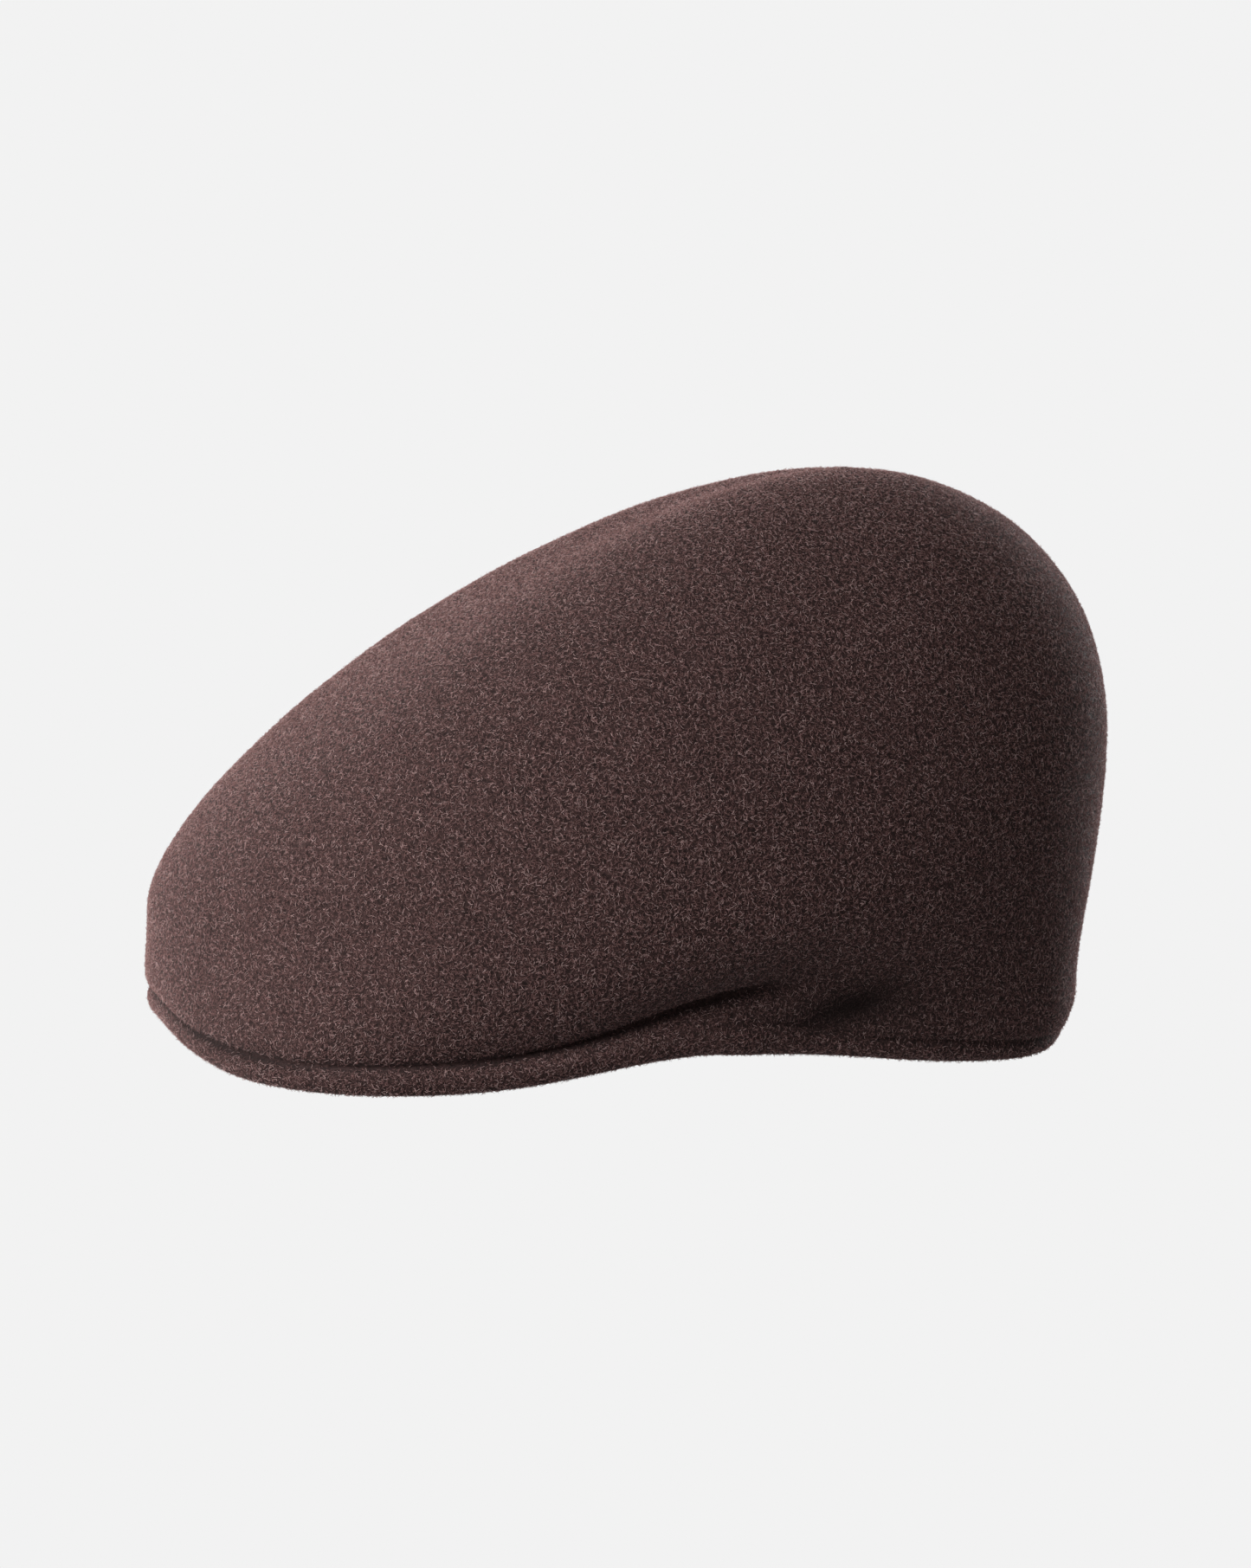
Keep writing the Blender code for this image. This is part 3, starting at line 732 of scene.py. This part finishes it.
def satin_material():
    """Blank cream satin tape: long floats along the tape, crossed by fine picks."""
    material, n, shader, place = new_material("label_satin")
    uv = n.add("ShaderNodeUVMap", uv_map="weave").outputs[0]
    stretch = n.add("ShaderNodeMapping", {"Vector": uv, "Scale": (0.12, 1.0, 1.0)}).outputs[0]
    floats = n.noise(stretch, 0.00022, 2.0, 0.6)
    mottle = n.noise(place, 0.004, 2.0)
    cream = n.blend(n.remap(floats, 0.3, 0.7), colour(0.45, 0.42, 0.36), colour(0.63, 0.60, 0.54))
    n.put(shader, "Base Color", n.blend(n.remap(mottle, 0.35, 0.75, 0.0, 0.25), cream,
                                        colour(0.40, 0.37, 0.31)))
    n.put(shader, "Roughness", n.remap(floats, 0.3, 0.7, 0.36, 0.52))
    shader.inputs["Sheen Weight"].default_value = 0.2
    add_bump(n, shader, floats, 0.00008)
    return material


def thread_material():
    """Brown sewing thread with a little lint."""
    material, n, shader, place = new_material("sewing_thread")
    lint = n.noise(place, 0.0004, 3.0)
    n.put(shader, "Base Color", n.blend(n.remap(lint, 0.3, 0.7), colour(0.050, 0.030, 0.027),
                                        colour(0.115, 0.072, 0.066)))
    n.put(shader, "Roughness", n.remap(lint, 0.3, 0.7, 0.50, 0.70))
    shader.inputs["Sheen Weight"].default_value = 0.2
    add_bump(n, shader, lint, 0.00005)
    return material


def board_material():
    """Pale pressed fibre board."""
    material, n, shader, place = new_material("peak_stiffener")
    fibre = n.noise(place, 0.0012, 4.0, 0.65)
    n.put(shader, "Base Color", n.blend(n.remap(fibre, 0.3, 0.7), colour(0.52, 0.50, 0.45),
                                        colour(0.66, 0.64, 0.60)))
    n.put(shader, "Roughness", n.remap(fibre, 0.3, 0.7, 0.45, 0.65))
    add_bump(n, shader, fibre, 0.0001)
    return material


# ---------------------------------------------------------------- pieces


def follow_peak(obj, *nodes):
    """Hides the CAD nodes that the piece stands for and bakes its transform into its mesh."""
    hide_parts(*nodes)
    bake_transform(obj)


def make_felt(felt, fibre):
    """One seamless felt: the crown, its rolled rim, and the peak folded under its front."""
    columns = FELT_COLUMNS
    angle = np.linspace(-180.0, 180.0, columns, endpoint=False)
    grid, nap = felt_rows(angle)
    first_outside = int(np.argmax(nap[:, 0] == 1.0))
    edges = first_outside - OUTSIDE_STARTS_OVER, first_outside + OUTSIDE_STARTS_OVER
    shows = smoothstep(*edges, np.arange(len(grid)))
    relief, bare, shade = felt_relief(grid, angle)
    nap = nap * (1.0 - bare * shows[:, None])
    grid = grid + grid_normals(grid) * ((relief - NAP_DEPTH) * shows[:, None])[..., None]
    grid = outside_band(grid, (FELT_TO_BAND + FELT_PRESSED * shows)[:, None])
    rows = len(grid)
    top_inside = grid[0].mean(axis=0)
    points = np.concatenate([grid[:-1].reshape(-1, 3), grid[-1, :1], top_inside[None]])
    faces = grid_faces(rows - 1, columns, 0, loop=True)
    outer_pole, inner_pole = (rows - 1) * columns, (rows - 1) * columns + 1
    last = (rows - 2) * columns
    for c in range(columns):
        n = (c + 1) % columns
        faces.append((last + c, last + n, outer_pole))
        faces.append((n, c, inner_pole))
    obj = link("felt", points, faces, [felt])
    # The shade attribute holds painted shade, read by the felt and fibre materials
    for name, amount in (("nap", nap), ("shade", shade)):
        values = np.concatenate([amount[:-1].ravel(), amount[-1, :1], amount[0, :1]])
        layer = obj.data.attributes.new(name, "FLOAT", "POINT")
        layer.data.foreach_set("value", values.astype(np.float32))
    follow_peak(obj, "crown_felt", "peak_felt")
    grow_nap(obj, fibre)


def grow_nap(ground, fibre):
    """Short curly fibres on the felt, as hair curves that geometry nodes plant on its mesh."""
    tree = bpy.data.node_groups.new("felt_nap", "GeometryNodeTree")
    tree.interface.new_socket("Geometry", in_out="INPUT", socket_type="NodeSocketGeometry")
    tree.interface.new_socket("Geometry", in_out="OUTPUT", socket_type="NodeSocketGeometry")
    n = Nodes(tree)
    source = n.add("GeometryNodeObjectInfo", {"Object": ground}).outputs["Geometry"]
    named = n.add("GeometryNodeInputNamedAttribute", {"Name": "nap"}, data_type="FLOAT")
    density = n.maths("MULTIPLY", named.outputs["Attribute"], NAP_DENSITY)
    points = n.add("GeometryNodeDistributePointsOnFaces",
                   {"Mesh": source, "Density": density, "Seed": 7})

    line = n.add("GeometryNodeCurvePrimitiveLine", {"End": (0.0, 0.0, NAP_LENGTH)}).outputs[0]
    strand = n.add("GeometryNodeResampleCurve", {"Curve": line, "Count": 7}).outputs[0]
    lean = n.add("FunctionNodeRandomValue", {"Min": (NAP_LEAN[0], 0.0, 0.0),
                                             "Max": (NAP_LEAN[1], 0.0, 2.0 * math.pi), "Seed": 11},
                 data_type="FLOAT_VECTOR").outputs[0]
    turned = n.add("FunctionNodeEulerToRotation", {"Euler": lean}).outputs[0]
    facing = n.add("FunctionNodeRotateRotation", {"Rotation": points.outputs["Rotation"],
                                                  "Rotate By": turned}, rotation_space="LOCAL")
    length = n.add("FunctionNodeRandomValue", {2: 0.45, 3: 1.2, "Seed": 13}, data_type="FLOAT")
    planted = n.add("GeometryNodeInstanceOnPoints", {
        "Points": points.outputs["Points"], "Instance": strand,
        "Rotation": facing.outputs[0], "Scale": length.outputs[1]}).outputs[0]
    phase = n.add("FunctionNodeRandomValue", {"Min": (-9.0,) * 3, "Max": (9.0,) * 3, "Seed": 17},
                  data_type="FLOAT_VECTOR").outputs[0]
    marked = n.add("GeometryNodeStoreNamedAttribute", {"Geometry": planted, "Name": "phase",
                                                       "Value": phase},
                   data_type="FLOAT_VECTOR", domain="INSTANCE").outputs[0]
    loose = n.add("GeometryNodeRealizeInstances", {"Geometry": marked}).outputs[0]

    own = n.add("GeometryNodeInputNamedAttribute", {"Name": "phase"},
                data_type="FLOAT_VECTOR").outputs["Attribute"]
    place = n.add("GeometryNodeInputPosition").outputs[0]
    where = n.add("ShaderNodeVectorMath", {0: place, 1: (1.0 / NAP_CURL,) * 3},
                  operation="MULTIPLY").outputs[0]
    where = n.add("ShaderNodeVectorMath", {0: where, 1: own}, operation="ADD").outputs[0]
    wander = n.add("ShaderNodeTexNoise", {"Vector": where, "Scale": 1.0, "Detail": 1.0})
    centred = n.add("ShaderNodeVectorMath", {0: wander.outputs["Color"], 1: (0.5, 0.5, 0.5)},
                    operation="SUBTRACT").outputs[0]
    along = n.add("GeometryNodeSplineParameter").outputs["Factor"]
    swing = n.maths("MULTIPLY", n.maths("POWER", along, 0.8), NAP_SWING)
    offset = n.add("ShaderNodeVectorMath", {0: centred, "Scale": swing}, operation="SCALE")
    curled = n.add("GeometryNodeSetPosition", {"Geometry": loose,
                                               "Offset": offset.outputs[0]}).outputs[0]
    taper = n.remap(along, 0.0, 1.0, NAP_RADIUS, NAP_RADIUS * 0.45)
    spun = n.add("GeometryNodeSetCurveRadius", {"Curve": curled, "Radius": taper}).outputs[0]
    coloured = n.add("GeometryNodeSetMaterial", {"Geometry": spun, "Material": fibre}).outputs[0]
    tree.links.new(coloured, n.add("NodeGroupOutput").inputs[0])
    strands = bpy.data.hair_curves.new("felt_nap")
    strands.materials.append(fibre)
    nap = bpy.data.objects.new("felt_nap", strands)
    bpy.context.scene.collection.objects.link(nap)
    nap.modifiers.new("nap", "NODES").node_group = tree


def make_board(board):
    """The stiffener inside the folded peak."""
    angle = np.linspace(-BOARD_ENDS, BOARD_ENDS, BOARD_COLUMNS)
    root, width = peak_root(angle), roll_width(angle)
    depth, lip = fold_depth(angle), lip_height(angle)
    reach = np.linalg.norm(root[:, :2] - rim_plan(angle), axis=-1)

    def middle(inset):
        low = root[:, 2] * (inset - width) / (reach - width)
        low += rim_height(angle) * (reach - inset) / (reach - width)
        high = (root[:, 2] + PEAK_ROOT_THICKNESS) * (inset - depth) / (reach - depth)
        high += (rim_height(angle) + lip) * (reach - inset) / (reach - depth)
        return (low + high) / 2 - rim_height(angle)

    share = np.linspace(0.0, 1.0, BOARD_ROWS)[:, None]
    insets = BOARD_INSET + (reach - BOARD_TO_ROOT - BOARD_INSET) * share
    upper = [at_rim(angle, k, middle(k) + BOARD / 2) for k in insets]
    lower = [at_rim(angle, k, middle(k) - BOARD / 2) for k in insets]
    obj = sheet("peak_stiffener_board", upper, lower, [board])
    follow_peak(obj, "peak_board")


def ribbon(name, bearing, outer_offset, inner_offset, shares, material):
    """A ribbon round the head opening, with a weave map in metres along and across it.

    The offsets are grids, by height share then bearing, outward from the opening's line.
    """
    foot = band_foot(bearing)
    outer = [head_point(bearing, o, foot + BAND_HEIGHT * k) for o, k in zip(outer_offset, shares)]
    inner = [head_point(bearing, o, foot + BAND_HEIGHT * k) for o, k in zip(inner_offset, shares)]
    obj = sheet(name, outer, inner, [material])
    step = np.linalg.norm(np.diff(outer[0][:, :2], axis=0), axis=-1)
    length = np.concatenate([[0.0], np.cumsum(step)])
    along = np.tile(length, 2 * len(shares))
    across = np.tile(np.repeat(np.asarray(shares) * BAND_HEIGHT, len(bearing)), 2)
    set_weave_uv(obj, along, across)
    return obj


def ribbon_edge(shares, softness):
    """How full a ribbon's thickness is at each height: thin and rounded at both edges."""
    near = np.minimum(shares, 1.0 - shares) / softness
    return np.sqrt(np.clip(near, 0.04, 1.0))


def make_sweatband(grosgrain):
    """Grosgrain ribbon with its ribs up and down, drawn in a little along its seam."""
    end = 180.0 - ELASTIC_HALF_ANGLE
    length = 2.0 * math.radians(end) * 0.5 * (HEAD_OVAL[0] + HEAD_OVAL[1])
    columns = 4 * int(length / BAND_RIB)
    bearing = np.linspace(-end, end, columns)
    shares = np.array([0.0, 0.012, 0.035, 0.067, 0.11, 0.2, 0.35, 0.5, 0.65, 0.8, 0.93, 0.975, 1.0])
    rib = BAND_RIB_RELIEF * np.cos(np.arange(columns) * math.pi / 2.0)
    full = ribbon_edge(shares, 0.03)[:, None]
    seam = BAND_SEAM_DRAW * np.exp(-(((shares - BAND_SEAM_SHARE) / 0.02) ** 2))[:, None]
    slack = BAND_SLACK * np.sin(shares * math.pi)[:, None] * np.sin(np.radians(bearing) * 23.0)
    outer = -BAND / 2 * (1.0 - full) + 0.0 * rib
    inner = -BAND + BAND / 2 * (1.0 - full) + rib * full + seam - np.abs(slack)
    obj = ribbon("grosgrain_sweatband", bearing, outer, inner, shares, grosgrain)
    follow_peak(obj, "sweatband")


def make_elastic(elastic):
    """Corded elastic at the back, rippled where it draws the band in."""
    start = 180.0 - ELASTIC_HALF_ANGLE + 0.2
    bearing = np.linspace(start, 360.0 - start, 260)
    shares = np.linspace(0.02, 0.98, 6 * ELASTIC_CORDS + 1)
    within = (shares - shares[0]) / (shares[-1] - shares[0])
    cord = ELASTIC_CORD * np.abs(np.sin(within * ELASTIC_CORDS * math.pi))[:, None]
    ripple = 0.00013 * np.sin(np.radians(bearing) * 95.0) + 0.00005 * np.sin(bearing * 9.7)
    full = ribbon_edge(within, 0.03)[:, None]
    outer = -BAND / 2 * (1.0 - full) + 0.0 * ripple
    inner = -BAND + BAND / 2 * (1.0 - full) + (ripple + 0.00006) * full - cord
    obj = ribbon("corded_elastic", bearing, outer, inner, shares, elastic)
    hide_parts("back_elastic")
    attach(obj, "cap")


def stitch_points(start, end, outward):
    """One stitch of two-ply thread from start to end, its ends sunk into the cloth."""
    share = np.linspace(0.0, 1.0, STITCH_RINGS)
    along = unit(end - start)
    outward = unit(outward - along * (outward @ along))
    aside = np.cross(along, outward)
    rise = THREAD_RADIUS * (2.6 * np.sin(math.pi * share) ** 0.45 - 1.9)
    middle = start + (end - start) * share[:, None] + outward * rise[:, None]
    turn = np.linspace(0.0, 2.0 * math.pi, STITCH_SIDES, endpoint=False)
    twist = np.linalg.norm(end - start) / PLY_TWIST * math.pi * share[:, None]
    size = THREAD_RADIUS * (0.80 + 0.20 * np.cos(2.0 * turn - 2.0 * twist))
    ring = (np.cos(turn) * size)[..., None] * outward + (np.sin(turn) * size)[..., None] * aside
    return middle[:, None] + ring


def make_stitches(name, starts, ends, outward, yarn):
    """Separate stitches as one piece; outward points away from the cloth at each."""
    points, faces = [], []
    for start, end, out in zip(starts, ends, outward):
        rings = stitch_points(start, end, out)
        first = len(points)
        count, sides = rings.shape[:2]
        points.extend(rings.reshape(-1, 3))
        faces += [face[::-1] for face in grid_faces(count, sides, first, loop=True)]
        faces.append(tuple(first + k for k in range(sides)))
        faces.append(tuple(first + (count - 1) * sides + k for k in reversed(range(sides))))
    obj = link(name, points, faces, [yarn])
    return obj


def along_path(path, outward):
    """Starts, ends and outward directions of a running stitch along a path."""
    path, outward = np.asarray(path), np.asarray(outward)
    gone = np.concatenate([[0.0], np.cumsum(np.linalg.norm(np.diff(path, axis=0), axis=-1))])
    count = int((gone[-1] + STITCH_GAP) / (STITCH + STITCH_GAP))
    pitch = (gone[-1] + STITCH_GAP) / count

    def place(values, distance):
        return np.stack([np.interp(distance, gone, values[:, k]) for k in range(3)], -1)

    begin = np.arange(count) * pitch
    finish = begin + pitch - STITCH_GAP
    return place(path, begin), place(path, finish), place(outward, (begin + finish) / 2)


def to_middle(points):
    """Level directions from points on the band towards the middle of the head."""
    return unit((np.array([0.0, HEAD_MID_Y, 0.0]) - points) * (1.0 - UP))


def make_band_stitching(yarn):
    """The seams of the sweatband and of its elastic, and the one along the peak's root."""
    end = 180.0 - ELASTIC_HALF_ANGLE
    bearing = np.linspace(-end + 1.0, end - 1.0, 900)
    path = head_point(bearing, THREAD_PROUD - BAND, band_foot(bearing) + BAND_SEAM)
    obj = make_stitches("sweatband_stitches", *along_path(path, to_middle(path)), yarn)
    follow_peak(obj, "sweatband_stitching")
    for side, sign in (("left", 1.0), ("right", -1.0)):
        up = np.linspace(0.0030, BAND_HEIGHT - 0.0015, ZIGZAG_CORNERS)
        sway = ZIGZAG_SWAY * np.cos(np.arange(ZIGZAG_CORNERS) * math.pi)
        at = sign * (end + 0.1) + sway
        corners = head_point(at, -BAND - 0.00005, band_foot(at) + up)
        out = to_middle((corners[1:] + corners[:-1]) / 2)
        obj = make_stitches("elastic_join_zigzag_" + side, corners[:-1], corners[1:], out, yarn)
        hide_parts("elastic_join_stitching_" + side)
        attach(obj, "cap")

    angle = np.linspace(-ROOT_STITCHING_ENDS, ROOT_STITCHING_ENDS, 500)
    root = peak_root(angle)
    reach = np.linalg.norm(root[:, :2] - rim_plan(angle), axis=-1)
    share = (reach - ROOT_STITCHING_INSET) / reach
    path = at_rim(angle, 0.0 * reach, 0.0)
    path = path + (root - path) * share[:, None]
    down = np.tile(-UP, (len(angle), 1))
    obj = make_stitches("peak_root_stitches", *along_path(path, down), yarn)
    follow_peak(obj, "peak_root_stitching")


def tape_fullness(near):
    """How full a tape's thickness is, by the distance to its nearest edge."""
    return np.sqrt(np.clip(near / TAPE_ROUNDING, TAPE_EDGE, 1.0))


def tape(name, corner, along, up, inward, size, satin, wave):
    """A piece of satin tape: its corner, its directions, and how far it waves out of its plane."""
    width, height = size
    u, v = np.meshgrid(np.linspace(0.0, 1.0, 49), np.linspace(0.0, 1.0, 25))
    near = np.minimum(np.minimum(u, 1.0 - u) * width, np.minimum(v, 1.0 - v) * height)
    full = tape_fullness(near)
    middle = LABEL / 2 + wave(u, v)

    def side(offset):
        flat = corner + along * (u * width)[..., None] + up * (v * height)[..., None]
        return flat + inward * offset[..., None]

    outer, inner = side(middle - TAPE / 2 * full), side(middle + TAPE / 2 * full)
    obj = sheet(name, outer, inner, [satin])
    set_weave_uv(obj, np.tile((u * width).ravel(), 2), np.tile((v * height).ravel(), 2))
    return obj


def make_maker_label(satin, yarn):
    """A blank label sewn down on all four sides at the front of the sweatband."""
    low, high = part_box("maker_label")
    foot, height, width = low.z, high.z - low.z, high.x - low.x
    radius = HEAD_MID_Y - high.y
    half = math.degrees(width / 2 / radius)
    bearing = np.linspace(-half, half, 61)
    levels = np.linspace(0.0, 1.0, 21)
    near = np.minimum(np.radians(half - np.abs(bearing)) * radius,
                      (np.minimum(levels, 1.0 - levels) * height)[:, None])
    full = tape_fullness(near)
    puff = LABEL_PUFF * np.sqrt(np.clip(near / 0.004, 0.0, 1.0))
    middle = -(BAND + LABEL_GAP + LABEL / 2) - puff

    def side(offset):
        return [head_point(bearing, o, foot + height * k) for o, k in zip(offset, levels)]

    outer, inner = side(middle + TAPE / 2 * full), side(middle - TAPE / 2 * full)
    obj = sheet("blank_maker_label", outer, inner, [satin])
    across = np.tile(np.radians(bearing) * radius, 2 * len(levels))
    set_weave_uv(obj, across, np.tile(np.repeat(levels * height, len(bearing)), 2))
    follow_peak(obj, "maker_label")

    face = -(BAND + LABEL_GAP + LABEL + THREAD_PROUD)
    end = half - math.degrees(LABEL_SEAM / radius)
    low_seam, high_seam = foot + LABEL_SEAM, foot + height - LABEL_SEAM
    across = np.linspace(-end, end, 60)
    rise = np.linspace(low_seam, high_seam, 30)
    ends = np.full_like(rise, end)
    path = [head_point(across, face, low_seam), head_point(ends, face, rise)]
    path += [head_point(across[::-1], face, high_seam), head_point(-ends, face, rise[::-1])]
    runs = [along_path(part, to_middle(part)) for part in path]
    starts, ends, out = (np.concatenate(group) for group in zip(*runs))
    obj = make_stitches("maker_label_stitches", starts, ends, out, yarn)
    follow_peak(obj, "maker_label_stitching")


def make_tab(node, joint, body, satin, yarn):
    """A loose label sewn by its lower edge, which is its hinge."""
    low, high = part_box(node)
    hinge = np.array(JOINTS[joint]["pos_m"])
    along = -unit(np.array(JOINTS[joint]["axis"], dtype=float))
    inward = np.cross(UP, along)
    reach = np.abs(along)
    spread = np.array(high - low)
    width = spread[:2] @ reach[:2] - 2.0 * LABEL * reach[0] * reach[1]
    height = spread[2]

    def wave(u, v):
        return v**1.5 * (0.0006 * np.sin(u * 3.6 + 0.6) + 0.0004 * v)

    corner = hinge - along * width / 2
    obj = tape("loose_" + node, corner, along, UP, inward, (width, height), satin, wave)
    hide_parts(node)
    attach(obj, body)
    inset = along * TAB_SEAM_INSET
    line = np.linspace(corner + inset, corner + along * width - inset, 40)
    line = line + UP * TAB_SEAM + inward * (LABEL + 0.00002)
    out = np.tile(inward, (len(line), 1))
    obj = make_stitches(node + "_stitches", *along_path(line, out), yarn)
    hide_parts(node + "_stitching")
    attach(obj, body)


# ---------------------------------------------------------------- stage


def aim(obj, target):
    obj.rotation_euler = (Vector(target) - obj.location).to_track_quat("-Z", "Y").to_euler()


def from_centre(centre, azimuth, elevation, distance):
    """A place seen from the middle of the cap: azimuth 0 is in front, 90 on its left."""
    a, e = math.radians(azimuth), math.radians(elevation)
    way = Vector((math.sin(a) * math.cos(e), -math.cos(a) * math.cos(e), math.sin(e)))
    return centre + way * distance


def add_light(centre, name, azimuth, elevation, size, power, tint):
    lamp = bpy.data.lights.new(name, "AREA")
    lamp.shape = "DISK"
    lamp.size = size
    lamp.energy = power
    lamp.color = tint
    obj = bpy.data.objects.new(name, lamp)
    bpy.context.scene.collection.objects.link(obj)
    obj.location = from_centre(centre, azimuth, elevation, LIGHT_DISTANCE)
    aim(obj, centre)
    obj.visible_camera = False


def set_stage():
    """A pale floor and backdrop of one tone, soft light, and the camera at the photo's angle."""
    scene = bpy.context.scene
    scene.view_settings.view_transform = "Standard"
    centre = (cad_low + cad_high) / 2

    world = bpy.data.worlds.new("studio")
    scene.world = world
    world.use_nodes = True
    n = Nodes(world.node_tree)
    sky = world.node_tree.nodes["Background"]
    seen = n.add("ShaderNodeLightPath").outputs["Is Camera Ray"]
    sky.inputs["Color"].default_value = colour(1.0, 1.0, 1.0)
    n.put(sky, "Strength", n.remap(seen, 0.0, 1.0, AMBIENT, PALE))

    material = bpy.data.materials.new("pale_floor")
    material.use_nodes = True
    tree = material.node_tree
    tree.nodes.remove(tree.nodes["Principled BSDF"])
    n = Nodes(tree)
    seen = n.add("ShaderNodeLightPath").outputs["Is Camera Ray"]
    glow = n.add("ShaderNodeEmission", {"Strength": n.remap(seen, 0.0, 1.0, FLOOR_LIGHT, PALE)})
    tree.links.new(glow.outputs[0], tree.nodes["Material Output"].inputs["Surface"])
    half = FLOOR_HALF
    corners = [(-half, -half, 0.0), (half, -half, 0.0), (half, half, 0.0), (-half, half, 0.0)]
    floor = link("floor", corners, [(0, 1, 2, 3)], [material])
    floor.location.z = cad_low.z - FLOOR_GAP

    for light in LIGHTS:
        add_light(centre, *light)

    camera = bpy.data.cameras.new("camera")
    camera.lens = 100.0
    camera.sensor_width = 36.0
    obj = bpy.data.objects.new("camera", camera)
    scene.collection.objects.link(obj)
    obj.location = from_centre(centre, CAMERA_AZIMUTH, CAMERA_ELEVATION, CAMERA_DISTANCE)
    aim(obj, centre)
    across = obj.rotation_euler.to_matrix() @ Vector((1.0, 0.0, 0.0))
    upward = obj.rotation_euler.to_matrix() @ Vector((0.0, 1.0, 0.0))
    obj.location -= across * AIM_OFF[0] + upward * AIM_OFF[1]
    scene.camera = obj


def main():
    felt, fibre = felt_material(), fibre_material()
    make_felt(felt, fibre)
    make_board(board_material())
    dark, light = colour(0.026, 0.016, 0.0145), colour(0.078, 0.050, 0.045)
    make_sweatband(ribbed_material("band_grosgrain", dark, light, 0.00042, 0.00006))
    dark, light = colour(0.016, 0.011, 0.010), colour(0.058, 0.040, 0.037)
    make_elastic(ribbed_material("woven_elastic", dark, light, 0.00036, 0.00005))
    yarn, satin = thread_material(), satin_material()
    make_band_stitching(yarn)
    make_maker_label(satin, yarn)
    make_tab("care_label", "care_label_flip", "care_label_tab", satin, yarn)
    make_tab("size_tab", "size_tab_flip", "size_label_tab", satin, yarn)
    set_stage()


main()
